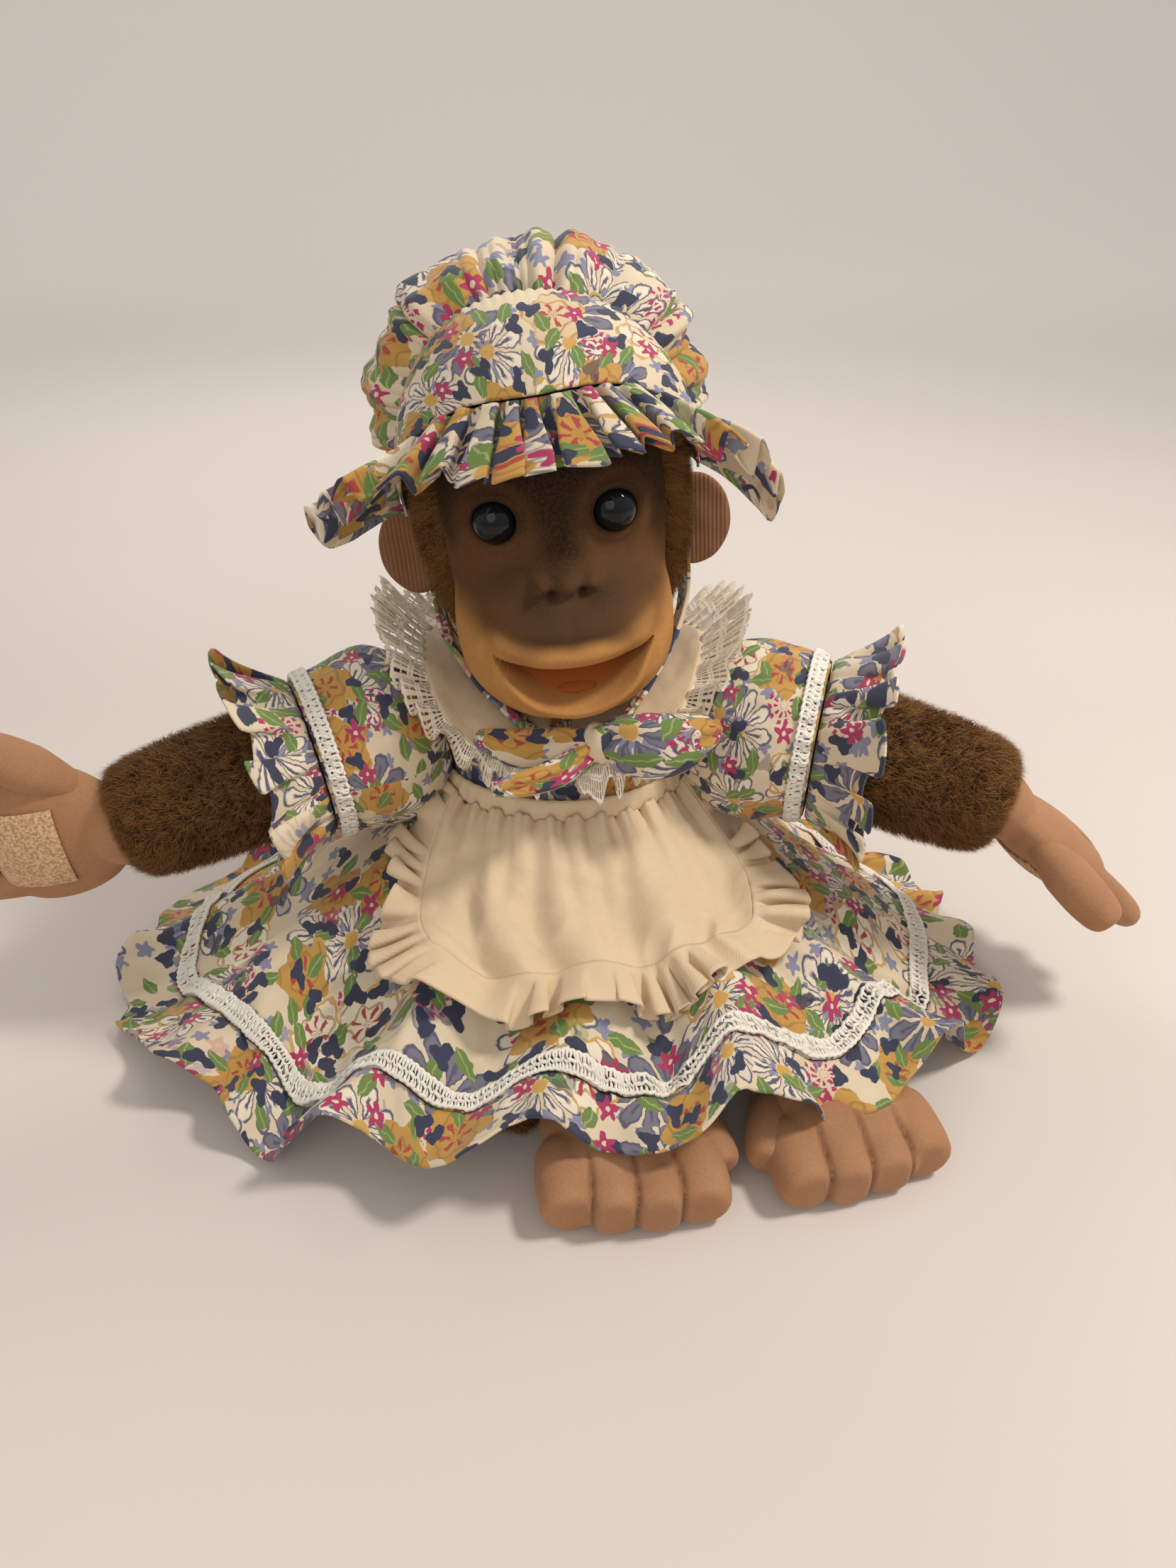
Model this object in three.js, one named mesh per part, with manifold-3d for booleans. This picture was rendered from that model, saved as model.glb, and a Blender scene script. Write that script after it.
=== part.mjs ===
// A seated hand puppet: a baby chimp in a floral dress, an apron, a collar and a bonnet.
// Millimetres, +Z up. The puppet faces -Y and sits on the plane Z = 0. Left and right are as seen from the front.

import * as THREE from 'three';
import { mergeVertices } from 'three/addons/utils/BufferGeometryUtils.js';
import Module from 'manifold-3d';

const wasm = await Module();
wasm.setup();

// Fits and stock
const seatGap = 0.4; // between pieces that rest on each other
const swingGap = 0.4; // between a ball and its socket
const neckGap = 0.7; // the head rocks both ways on its ball
const clothThick = 2.2; // sewn cotton, with its hem and lining
const laceThick = 1.6;
const braidThick = 1.8;
const braidWidth = 8;

// Torso: a hollow plush body, open at the back for the hand
const torsoX = 2;
const torsoY = -2;
const torsoDepthShare = 0.95; // front to back, against side to side
const seatRadius = 46;
const hipRadius = 58;
const hipHeight = 26;
const waistRadius = 49;
const waistHeight = 88;
const chestRadius = 45;
const chestHeight = 104;
const torsoTopRadius = 25;
const torsoHeight = 124;
const torsoWall = 12;
const seatStuffingHeight = 36;
const backOpeningWidth = 52;
const backOpeningHeight = 46;
const backOpeningMiddle = 64;
const liningThick = 1.6;

// Neck and head, measured from the neck's pivot
const neckRise = 24; // from the torso's top to the pivot
const neckPivot = new THREE.Vector3(3, 0, torsoHeight + neckRise);
const neckBallRadius = 23;
const neckBore = 14;
const neckTubeRadius = 19;
const headRoll = -5; // about +Y: the head leans to the left
const headTurn = 4; // about +Z: the face looks a little to the right
const headRadii = [47, 45, 56];
const headCentre = [0, 6, 56];
const headWall = 8;
const maskWall = 3.5;
const faceRadii = [41, 39, 44];
const faceCentre = [0, -4, 54];
const muzzleRadii = [40, 42, 31.5];
const muzzleCentre = [0, -18, 14.5];
const noseRadii = [14, 8, 7];
const noseCentre = [0, -46, 35];
const maskBack = -10; // the mask's rear edge
const eyeRadius = 8.2;
const eyeSpacing = 40;
const eyeHeight = 53;
const eyeDepth = -32;
const jawHingeY = -14;
const jawHingeZ = 8.5;
const mouthAngle = 11; // how far the mouth stands open at rest
const jawForward = 9; // how far the lower jaw stands out before the muzzle
const jawDrop = 1.5;
const chinAngle = 10; // the slope of the jaw's underside, down to the front
const chinRear = -10; // the height of that underside at the jaw's rear
const jawSeat = 1.2; // from the hinge to the jaw's rear edge
const jawSweep = 8; // how far the chin moves back as it opens
const thumbPocketCentre = [0, -44, -5.5];
const thumbPocketRadii = [17, 15, 9];
const thumbHollowCentre = [0, -39, -4.9];
const thumbHollowRadii = [15, 16, 7.4];
const earRadii = [14, 5, 18];
const earCentre = [54, 14, 30];

// Bonnet
const bonnetRoll = -3.5; // it sits a little further over than the head
const bonnetRadii = [54, 56, 64];
const bonnetCentre = [0, 4, 56];
const bandEnd = 95;
const crownRadii = [61, 36, 51];
const crownCentre = [0, 25, 80];
const crownPuffs = 16;
const brimWidth = 27;
const brimFlare = 15; // how much wider the brim is over the ears
const brimPleats = 20;
const strapWidth = 10;
const strapThick = 2;
const bowKnot = [8, -55, -24];

// Arms: yaw is forward of straight out, drop is below level, in degrees
const shoulderHeight = 110;
const shoulderSpacing = 96;
const shoulderY = -8;
const upperArmLength = 57;
const forearmLength = 66;
const handLength = 82;
const shoulderBall = 15;
const elbowBall = 22;
const forearmRadius = 27.5;
const wristBall = 18.5;
const handWidth = 62;
const handThick = 25;
const armPose = {
	left: { upper: [25, 6], fore: [20, 12], hand: [8, 3], palmTurn: 0 },
	right: { upper: [17, 2], fore: [14, 14], hand: [-4, 38], palmTurn: 78 },
};
const puffRadius = 33;
const puffCuffRadius = 29.5;
const sleeveRuffleLength = 24;
const sleeveRuffleRadius = 46;

// Legs, resting on the table in front of the seat
const legRadius = 14.5;
const hipJoint = { left: [-34, -38], right: [38, -38] };
const kneeBend = { left: [-62, -92], right: [84, -54] };
const ankleJoint = { left: [-8, -126], right: [105, -88] };
const hipJointHeight = 18;
const legRestHeight = 15.5;
const hipBall = 15;
const ankleBall = 13;
const footMiddle = { left: [24, -132], right: [101, -119] };
const footTurn = { left: 8, right: 12 };
const footLength = 68;
const footWidth = 60;
const footHeight = 25;
const toeRadius = 8.4;
const soleGap = 0.3;

// Dress, apron and collar
const skirtReach = { front: 147, corner: 180, side: 172, rear: 118, back: 102 };
const skirtHemHeight = 5.5;
const skirtFrontLift = 29; // the front hem lies over the feet
const frontLiftAngle = 11; // degrees from the front
const frontLiftSpread = 50;
const skirtFolds = 13;
const skirtFoldDepth = 4.2;
const skirtBackGap = 22; // degrees either side of the middle of the back
const braidShare = 0.82; // how far down the skirt the braid lies
const flounceWaves = 17;
const flounceDepth = 2.4;
const apronTopSpan = [-60, 70];
const apronHemSpan = [-34, 50];
const apronDrop = 0.52;
const apronRuffle = 15;
const apronSmooth = 0.6; // it lies on the tops of the skirt's folds
const waistbandWidth = 8;
const collarSeat = 1.6; // its neckline lies on the torso's top
const tabWidth = 10;
const tabHeight = 103;
const tabSpan = [150, 210];
const collarNeck = 24;
const collarHeight = torsoHeight + collarSeat;
const collarReach = 36;
const laceWidth = 20;

const SIDES = { left: -1, right: 1 };
const rad = THREE.MathUtils.degToRad;
const mix = THREE.MathUtils.lerp;
const point = (list) => new THREE.Vector3(...list);

// Solids: closed meshes that are joined and cut

function toSolid(geometry) {
	const bare = new THREE.BufferGeometry();
	bare.setAttribute('position', geometry.getAttribute('position').clone());
	bare.setIndex(geometry.index);
	const merged = mergeVertices(bare, 1e-4);
	const places = merged.getAttribute('position');
	const faces = [];
	let volume = 0;
	const corner = (n) => new THREE.Vector3().fromBufferAttribute(places, n);
	for (let i = 0; i < merged.index.count; i += 3) {
		const [a, b, c] = [0, 1, 2].map((k) => merged.index.getX(i + k));
		if (a === b || b === c || c === a) continue;
		faces.push([a, b, c]);
		volume += corner(a).dot(corner(b).cross(corner(c)));
	}
	const outward = volume > 0 ? faces : faces.map(([a, b, c]) => [a, c, b]);
	const mesh = new wasm.Mesh({
		numProp: 3,
		vertProperties: new Float32Array(places.array),
		triVerts: new Uint32Array(outward.flat()),
	});
	return new wasm.Manifold(mesh);
}

const join = (first, ...others) => others.reduce((whole, other) => whole.add(other), first);
const cut = (first, ...others) => others.reduce((rest, other) => rest.subtract(other), first);

// The largest piece, where a cut leaves crumbs
function mainPiece(solid) {
	const pieces = solid.decompose();
	return pieces.reduce((best, piece) => (piece.volume() > best.volume() ? piece : best));
}

// Part of a solid inside a box given by its corners
function within(solid, low, high) {
	const size = high.map((value, k) => value - low[k]);
	const box = new THREE.BoxGeometry(...size);
	box.translate(...low.map((value, k) => value + size[k] / 2));
	return solid.intersect(toSolid(box));
}

const finishes = {
	plush: { color: 0x5a3d22, roughness: 0.95 },
	velour: { color: 0xb07a4b, roughness: 0.9 },
	skin: { color: 0xb98549, roughness: 0.8 },
	print: { color: 0x8f8a86, roughness: 0.85 },
	cotton: { color: 0xe9d9bd, roughness: 0.85 },
	lace: { color: 0xefe6d4, roughness: 0.8 },
	gimp: { color: 0xf4f1ea, roughness: 0.5 },
	eye: { color: 0x14161a, roughness: 0.05 },
	lining: { color: 0x3b3a38, roughness: 0.9 },
	hook: { color: 0xc39a6e, roughness: 0.7 },
};

function piece(name, solid, finish) {
	const { vertProperties, triVerts } = solid.getMesh();
	const geometry = new THREE.BufferGeometry();
	geometry.setAttribute('position', new THREE.BufferAttribute(new Float32Array(vertProperties), 3));
	geometry.setIndex(new THREE.BufferAttribute(new Uint32Array(triVerts), 1));
	geometry.computeVertexNormals();
	const material = new THREE.MeshStandardMaterial({ metalness: 0, ...finishes[finish] });
	const mesh = new THREE.Mesh(geometry, material);
	mesh.name = name;
	return mesh;
}

// Forms

// A swelling egg shape
function blob(centre, radii, { grow = 0, around = 12, along = 8, turn } = {}) {
	const form = new THREE.SphereGeometry(1, around, along);
	form.rotateX(Math.PI / 2);
	form.scale(...radii.map((radius) => radius + grow));
	if (turn) form.applyMatrix4(new THREE.Matrix4().makeRotationFromEuler(turn));
	form.translate(...centre);
	return toSolid(form);
}

const axisX = new THREE.Vector3(1, 0, 0);
const axisY = new THREE.Vector3(0, 1, 0);
const axisZ = new THREE.Vector3(0, 0, 1);

// A ball whose pole lies on the axis that it turns about
function ball(centre, radius, { pole = axisZ, around = 14, along = 6 } = {}) {
	const form = new THREE.SphereGeometry(radius, around, along);
	form.applyQuaternion(new THREE.Quaternion().setFromUnitVectors(axisY, pole));
	form.translate(...(centre.isVector3 ? centre.toArray() : centre));
	return toSolid(form);
}

// Room for a ball that turns about its pole: the room's flat faces stay clear of the ball's corners
function socket(centre, radius, { pole, around = 14, along = 6 } = {}) {
	return ball(centre, (radius + swingGap) / Math.cos(Math.PI / around), { pole, around, along });
}

// A stuffed tube along a curve, with round ends; its radius follows a profile, and it may be flattened
function limb(curve, radiusAt, { wide = [0, 0, 1], flat = 1, grow = 0, around = 10, along = 6, blunt = 0.5 } = {}) {
	const form = new THREE.SphereGeometry(1, around, along);
	const places = form.getAttribute('position');
	const upward = point(wide).normalize();
	for (let i = 0; i < places.count; i++) {
		const [x, y, z] = [places.getX(i), places.getY(i), places.getZ(i)];
		const share = THREE.MathUtils.clamp((1 - y) / 2, 0, 1);
		const along = curve.getTangentAt(share);
		const side = along.clone().cross(upward).normalize();
		const up = side.clone().cross(along);
		const ring = Math.hypot(x, z);
		const radius = ring < 1e-6 ? 0 : (radiusAt(share) + grow) * ring ** blunt;
		const thick = ring < 1e-6 ? 0 : (radiusAt(share) * flat + grow) * ring ** blunt;
		const place = curve.getPointAt(share);
		place.addScaledVector(along, -y * grow);
		if (ring > 1e-6) {
			place.addScaledVector(up, (radius * x) / ring);
			place.addScaledVector(side, (thick * z) / ring);
		}
		places.setXYZ(i, ...place.toArray());
	}
	return toSolid(form);
}

const line = (...points) => (points.length === 2 ? new THREE.LineCurve3(...points) : new THREE.CatmullRomCurve3(points));

// A sheet of cloth: place(u, v) gives its middle, lift moves it off that along its normal, and room makes it
// larger on every side, for what has to keep clear of it
function cloth(across, along, place, { thick = clothThick, lift = 0, closed = false, room = 0 } = {}) {
	const columns = closed ? across : across + 1;
	const step = 1e-3;
	const places = [];
	for (const face of [1, -1]) {
		for (let i = 0; i < columns; i++) {
			for (let j = 0; j <= along; j++) {
				const [u, v] = [i / across, j / along];
				const alongU = place(u + step, v).sub(place(u - step, v));
				const alongV = place(u, Math.min(v + step, 1)).sub(place(u, Math.max(v - step, 0)));
				const normal = alongU.clone().cross(alongV).normalize();
				const spot = place(u, v).addScaledVector(normal, lift + face * (thick / 2 + room));
				const edgeU = closed ? 0 : room * ((i === across) - (i === 0));
				const edgeV = room * ((j === along) - (j === 0));
				spot.addScaledVector(alongU.normalize(), edgeU).addScaledVector(alongV.normalize(), edgeV);
				places.push(...spot.toArray());
			}
		}
	}
	const rows = along + 1;
	const back = columns * rows;
	const at = (i, j, side) => side * back + (i % columns) * rows + j;
	const faces = [];
	const quad = (a, b, c, d) => faces.push(a, b, c, a, c, d);
	for (let i = 0; i < across; i++) {
		for (let j = 0; j < along; j++) {
			quad(at(i, j, 0), at(i + 1, j, 0), at(i + 1, j + 1, 0), at(i, j + 1, 0));
			quad(at(i, j, 1), at(i, j + 1, 1), at(i + 1, j + 1, 1), at(i + 1, j, 1));
		}
		quad(at(i, 0, 1), at(i + 1, 0, 1), at(i + 1, 0, 0), at(i, 0, 0));
		quad(at(i, along, 0), at(i + 1, along, 0), at(i + 1, along, 1), at(i, along, 1));
	}
	if (!closed) {
		for (let j = 0; j < along; j++) {
			quad(at(0, j, 0), at(0, j + 1, 0), at(0, j + 1, 1), at(0, j, 1));
			quad(at(across, j, 1), at(across, j + 1, 1), at(across, j + 1, 0), at(across, j, 0));
		}
	}
	const form = new THREE.BufferGeometry();
	form.setAttribute('position', new THREE.BufferAttribute(new Float32Array(places), 3));
	form.setIndex(faces);
	return toSolid(form);
}

// A round body: half a profile of [radius, height] turned about the torso's axis
function turnedBody(profile, { around = 16, smooth = 6 } = {}) {
	const curve = new THREE.SplineCurve(profile.map(([radius, height]) => new THREE.Vector2(radius, height)));
	const [low, high] = [profile[0][1], profile[profile.length - 1][1]];
	const outline = [new THREE.Vector2(0, low), ...curve.getPoints(smooth), new THREE.Vector2(0, high)];
	const form = new THREE.LatheGeometry(outline, around);
	form.rotateX(Math.PI / 2);
	form.scale(1, torsoDepthShare, 1);
	form.translate(torsoX, torsoY, 0);
	return toSolid(form);
}

// Torso

function torsoRadius(height) {
	const chestTop = mix(chestHeight, torsoHeight, 0.65);
	const profile = [
		[0, seatRadius],
		[hipHeight * 0.35, mix(seatRadius, hipRadius, 0.75)],
		[hipHeight, hipRadius],
		[mix(hipHeight, waistHeight, 0.55), mix(hipRadius, waistRadius, 0.6)],
		[waistHeight, waistRadius],
		[chestHeight, chestRadius],
		[chestTop, mix(chestRadius, torsoTopRadius, 0.4)],
		[torsoHeight, torsoTopRadius],
	];
	const next = profile.findIndex(([z]) => z >= height);
	if (next <= 0) return next === 0 ? profile[0][1] : profile[profile.length - 1][1];
	const [z0, r0] = profile[next - 1];
	const [z1, r1] = profile[next];
	return mix(r0, r1, (height - z0) / (z1 - z0));
}

function torsoForm(grow) {
	const steps = 7;
	const profile = [];
	for (let i = 0; i <= steps; i++) {
		const height = (torsoHeight * i) / steps;
		profile.push([torsoRadius(height) + grow, height]);
	}
	return turnedBody(profile);
}

function handCavity(grow) {
	const floor = 9 - grow;
	const profile = [
		[30 + grow, floor],
		[32 + grow, seatStuffingHeight],
		[waistRadius - torsoWall + grow, waistHeight - 20],
		[chestRadius - torsoWall + grow, chestHeight - 4],
		[neckTubeRadius + 1 + grow, torsoHeight - 12],
	];
	return turnedBody(profile, { around: 14, smooth: 6 });
}

function neckHole() {
	const form = new THREE.CylinderGeometry(neckTubeRadius + neckGap, neckTubeRadius + neckGap, 40, 16);
	form.rotateX(Math.PI / 2);
	form.translate(neckPivot.x, neckPivot.y, torsoHeight);
	return toSolid(form);
}

function backOpening(grow) {
	const form = new THREE.CylinderGeometry(1, 1, 50, 14);
	form.scale(backOpeningWidth / 2 + grow, 1, backOpeningHeight / 2 + grow);
	form.translate(torsoX, 44, backOpeningMiddle);
	return toSolid(form);
}

const shoulderPoint = (side) => new THREE.Vector3(torsoX + (SIDES[side] * shoulderSpacing) / 2, shoulderY, shoulderHeight);
const hipPoint = (side) => new THREE.Vector3(...hipJoint[side], hipJointHeight);

function legForm(side, grow) {
	const hip = hipPoint(side);
	const knee = new THREE.Vector3(...kneeBend[side], legRestHeight);
	const ankle = new THREE.Vector3(...ankleJoint[side], legRestHeight);
	const swell = (t) => legRadius * (0.9 + 0.1 * Math.sin(Math.PI * t));
	const shaft = limb(line(hip, knee, ankle), swell, { grow, along: 8 });
	return join(shaft, ball(hip, hipBall + grow, { around: 12, along: 6 }), ball(ankle, ankleBall + grow, { pole: axisX, around: 14, along: 6 }));
}

// The space a leg sweeps as it swings about its hip
function legRoom(side) {
	const hip = hipPoint(side);
	const knee = new THREE.Vector3(...kneeBend[side], legRestHeight);
	const spread = 14;
	const copies = [-1, 0, 1].map((k) => {
		const aim = knee.clone().sub(hip).applyAxisAngle(axisZ, rad(spread * k * 0.9));
		return limb(line(hip, hip.clone().add(aim)), () => legRadius + swingGap + 0.9, { around: 10, along: 5 });
	});
	return join(socket(hip, hipBall, { around: 12, along: 6 }), ...copies);
}

function makeTorso(group) {
	const sockets = Object.keys(SIDES).map((side) => socket(shoulderPoint(side), shoulderBall, { pole: axisY }));
	const shell = cut(torsoForm(0), handCavity(0), neckHole(), backOpening(0), ...sockets, legRoom('left'), legRoom('right'));
	group.add(piece('torso', mainPiece(shell), 'plush'));

	const sleeve = within(cut(handCavity(-seatGap), handCavity(-seatGap - liningThick)), [-60, -60, seatStuffingHeight + 2], [60, 60, torsoHeight - 24]);
	group.add(piece('glove_lining', mainPiece(cut(sleeve, backOpening(0), ...sockets)), 'lining'));

	const stuffing = within(handCavity(-seatGap - 0.3), [-60, -60, 9], [60, 60, seatStuffingHeight]);
	group.add(piece('seat_stuffing', stuffing, 'lining'));
}

// Arms

function aim(side, [yaw, drop]) {
	const level = Math.cos(rad(drop));
	return new THREE.Vector3(SIDES[side] * Math.cos(rad(yaw)) * level, -Math.sin(rad(yaw)) * level, -Math.sin(rad(drop)));
}

function armPoints(side) {
	const pose = armPose[side];
	const shoulder = shoulderPoint(side);
	const elbow = shoulder.clone().addScaledVector(aim(side, pose.upper), upperArmLength);
	const wrist = elbow.clone().addScaledVector(aim(side, pose.fore), forearmLength);
	return { shoulder, elbow, wrist };
}

// A hand's axes: to the fingertips, to the thumb, which is also the wrist's axis, and out of its flat
function handAxes(side) {
	const { hand, palmTurn } = armPose[side];
	const reachOut = aim(side, hand);
	const thumbward = new THREE.Vector3(0, -Math.sin(rad(palmTurn)), Math.cos(rad(palmTurn)));
	const palmBack = reachOut.clone().cross(thumbward).normalize();
	thumbward.crossVectors(palmBack, reachOut);
	return { reachOut, thumbward, palmBack };
}

// Places round an arm's axis: a ring point at a distance out from the shoulder
function ringPoint(side, angle, out, radius) {
	const { shoulder } = armPoints(side);
	const axis = aim(side, armPose[side].upper);
	const across = axisZ.clone().cross(axis).normalize();
	const up = axis.clone().cross(across);
	return shoulder
		.addScaledVector(axis, out)
		.addScaledVector(across, Math.cos(angle) * radius)
		.addScaledVector(up, Math.sin(angle) * radius);
}

const sleeveStart = 6;
const sleeveEnd = upperArmLength - 3;
const sleeveGathers = 8;

function sleevePlace(side) {
	return (u, v) => {
		const angle = 2 * Math.PI * u;
		const swell = Math.sin(Math.PI * Math.min(v, 1) ** 0.8);
		const radius = mix(23, puffCuffRadius, v) + (puffRadius - 25) * swell + 0.9 * swell * Math.cos(sleeveGathers * angle);
		return ringPoint(side, angle, mix(sleeveStart, sleeveEnd, v), radius);
	};
}

function makeArm(group, side) {
	const { shoulder, elbow, wrist } = armPoints(side);
	const torsoCloth = torsoForm(clothThick + 2 * seatGap);

	const upperShape = limb(line(shoulder, elbow), (t) => mix(shoulderBall, 19, Math.min(1, t * 1.4)), { around: 8, along: 5 });
	const upper = cut(join(upperShape, ball(shoulder, shoulderBall, { pole: axisY })), socket(elbow, elbowBall));
	group.add(piece(`upper_arm_${side}`, mainPiece(upper), 'plush'));

	const sleeve = cloth(16, 3, sleevePlace(side), { closed: true });
	const near = [torsoCloth, waistband(seatGap), skirtSolid(seatGap), apronPanel(seatGap), apronEdge(seatGap)];
	group.add(piece(`sleeve_${side}`, mainPiece(cut(sleeve, ...near)), 'print'));

	const pleats = 10;
	const ruffle = cloth(30, 1, (u, v) => {
		const angle = 2 * Math.PI * u;
		const wave = Math.cos(pleats * angle) * 3.2 * v;
		const radius = mix(puffCuffRadius, sleeveRuffleRadius, v ** 0.8) + wave;
		return ringPoint(side, angle, sleeveEnd + clothThick / 2 + seatGap + v * sleeveRuffleLength, radius);
	}, { closed: true });
	group.add(piece(`sleeve_ruffle_${side}`, ruffle, 'print'));

	const place = sleevePlace(side);
	const outside = place(0, 0.5).distanceTo(ringPoint(side, 0, mix(sleeveStart, sleeveEnd, 0.5), 0));
	const reach = (clothThick + braidThick) / 2 + seatGap;
	const braid = cloth(16, 1, (u, v) => {
		const share = mix(0.84, 0.84 + braidWidth / (sleeveEnd - sleeveStart) - 0.02, v);
		const middle = place(u, Math.min(share, 1));
		const axle = ringPoint(side, 0, mix(sleeveStart, sleeveEnd, share), 0);
		return middle.addScaledVector(middle.clone().sub(axle).normalize(), outside > 0 ? reach + 0.35 : 0);
	}, { closed: true, thick: braidThick });
	group.add(piece(`sleeve_braid_${side}`, cut(braid, cloth(16, 3, place, { closed: true, room: seatGap })), 'gimp'));

	const { reachOut, thumbward, palmBack } = handAxes(side);
	const foreCurve = line(elbow, wrist.clone().addScaledVector(aim(side, armPose[side].fore), 2));
	const foreShape = limb(foreCurve, (t) => mix(elbowBall, forearmRadius, Math.min(1, t * 2)), { along: 5, around: 10, blunt: 0.4 });
	const forearm = cut(join(foreShape, ball(elbow, elbowBall)), socket(wrist, wristBall, { pole: thumbward }));
	group.add(piece(`forearm_${side}`, mainPiece(forearm), 'plush'));

	const hand = new THREE.Group();
	hand.applyMatrix4(new THREE.Matrix4().makeBasis(reachOut, thumbward, palmBack).setPosition(wrist));
	makeHand(hand, side);
	group.add(hand);
}

// A hand in its own axes: +X to the fingertips, +Y to the thumb, the palm's side given by the arm
function palmForm(grow) {
	const start = new THREE.Vector3(5, 0, 0);
	const end = new THREE.Vector3(handLength * 0.62, 0, 0);
	const swell = (t) => (handWidth / 2) * (0.66 + 0.34 * Math.sin(Math.PI * Math.min(1, t * 0.62)));
	return limb(line(start, end), swell, { wide: [0, 1, 0], flat: handThick / handWidth, grow, around: 10, along: 6, blunt: 0.42 });
}

function makeHand(group, side) {
	const palmSide = SIDES[side];
	const fingers = [-1.5, -0.5, 0.5, 1.5].map((k) => {
		const root = new THREE.Vector3(handLength * 0.42, k * handWidth * 0.2, 0);
		const tip = new THREE.Vector3(handLength * (1 - 0.05 * (k - 0.5) ** 2), k * handWidth * 0.2, palmSide * 3);
		const fat = handWidth * 0.118;
		return limb(line(root, tip), (t) => fat * (1.1 - 0.15 * t), { wide: [0, 1, 0], around: 6, along: 4 });
	});
	const palm = palmForm(0);
	group.add(piece(`hand_${side}`, join(palm, ball([0, 0, 0], wristBall, { pole: axisY }), ...fingers), 'velour'));

	const thumbRoot = new THREE.Vector3(handLength * 0.2, handWidth * 0.36, palmSide * 2);
	const thumbTip = new THREE.Vector3(handLength * 0.5, handWidth * 0.68, palmSide * 7);
	const thumb = limb(line(thumbRoot, thumbTip), (t) => 9.6 - 1.6 * t, { wide: [0, 1, 0], around: 8, along: 5 });
	group.add(piece(`thumb_${side}`, mainPiece(cut(thumb, palmForm(seatGap), ...fingers)), 'velour'));

	const patchAt = handLength * 0.36;
	const skin = cut(palmForm(1.7), palmForm(seatGap));
	const near = palmSide > 0 ? 0 : -handThick;
	const patch = within(skin, [patchAt - 13, -17, near], [patchAt + 13, 15, near + handThick]);
	group.add(piece(`palm_patch_${side}`, mainPiece(cut(patch, ...fingers, thumb)), 'hook'));
}

// Legs and feet

function makeLeg(group, side) {
	const leg = within(legForm(side, 0), [-300, -300, soleGap], [300, 300, 80]);
	group.add(piece(`leg_${side}`, leg, 'plush'));

	const foot = new THREE.Group();
	foot.position.set(...footMiddle[side], 0);
	foot.rotation.z = rad(footTurn[side]);
	const ankle = new THREE.Vector3(...ankleJoint[side], legRestHeight);
	const pin = foot.clone();
	pin.updateMatrixWorld(true);
	const ankleHere = pin.worldToLocal(ankle.clone());
	const mid = footHeight / 2;
	const big = -SIDES[side];
	const toes = [-1.5, -0.5, 0.5, 1.5].map((k) => {
		const along = -footLength / 2 + 9 + 1.2 * (k * big - 0.5) ** 2;
		return blob([(k * footWidth) / 4.1, along, mid - 2.5], [toeRadius, 13, 10], { around: 7, along: 4 });
	});
	const instep = blob([0, 3, mid], [footWidth / 2 - 1, footLength / 2 - 3, footHeight / 2], { around: 12, along: 6 });
	const heelPole = axisX.clone().applyAxisAngle(axisZ, -rad(footTurn[side]));
	const heelRoom = socket(ankleHere, ankleBall, { pole: heelPole, around: 14, along: 6 });
	const sole = within(join(instep, ...toes), [-90, -90, soleGap], [90, 90, 80]);
	foot.add(piece(`foot_${side}`, mainPiece(cut(sole, heelRoom)), 'velour'));

	const root = new THREE.Vector3(big * (footWidth / 2 - 6), 2, mid);
	const tip = new THREE.Vector3(big * (footWidth / 2 + 2), -20, mid - 3);
	const bigToe = limb(line(root, tip), (t) => 8.2 + 0.8 * t, { around: 8, along: 5 });
	const rest = blob([0, 3, mid], [footWidth / 2 - 1, footLength / 2 - 3, footHeight / 2], { grow: seatGap, around: 12, along: 6 });
	foot.add(piece(`big_toe_${side}`, mainPiece(cut(bigToe, rest, ...toes.map((_, n) => toeRoom(n, big, mid)))), 'velour'));
	group.add(foot);
}

function toeRoom(n, big, mid) {
	const k = n - 1.5;
	const along = -footLength / 2 + 9 + 1.2 * (k * big - 0.5) ** 2;
	return blob([(k * footWidth) / 4.1, along, mid - 2.5], [toeRadius, 13, 10], { grow: seatGap, around: 7, along: 4 });
}

// Dress: the skirt's surface in degrees from the front and in share of the way from waist to hem

const reachCurve = new THREE.SplineCurve(
	[
		[-60, skirtReach.corner],
		[0, skirtReach.front],
		[60, skirtReach.corner],
		[90, skirtReach.side],
		[130, skirtReach.rear],
		[180, skirtReach.back],
		[230, skirtReach.rear],
	].map(([angle, reach]) => new THREE.Vector2(angle, reach)),
);

function hemReach(angle) {
	const wanted = Math.abs(angle);
	let [low, high] = [0, 1];
	for (let i = 0; i < 24; i++) {
		const middle = (low + high) / 2;
		if (reachCurve.getPoint(middle).x < wanted) low = middle;
		else high = middle;
	}
	return reachCurve.getPoint(low).y;
}

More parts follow.
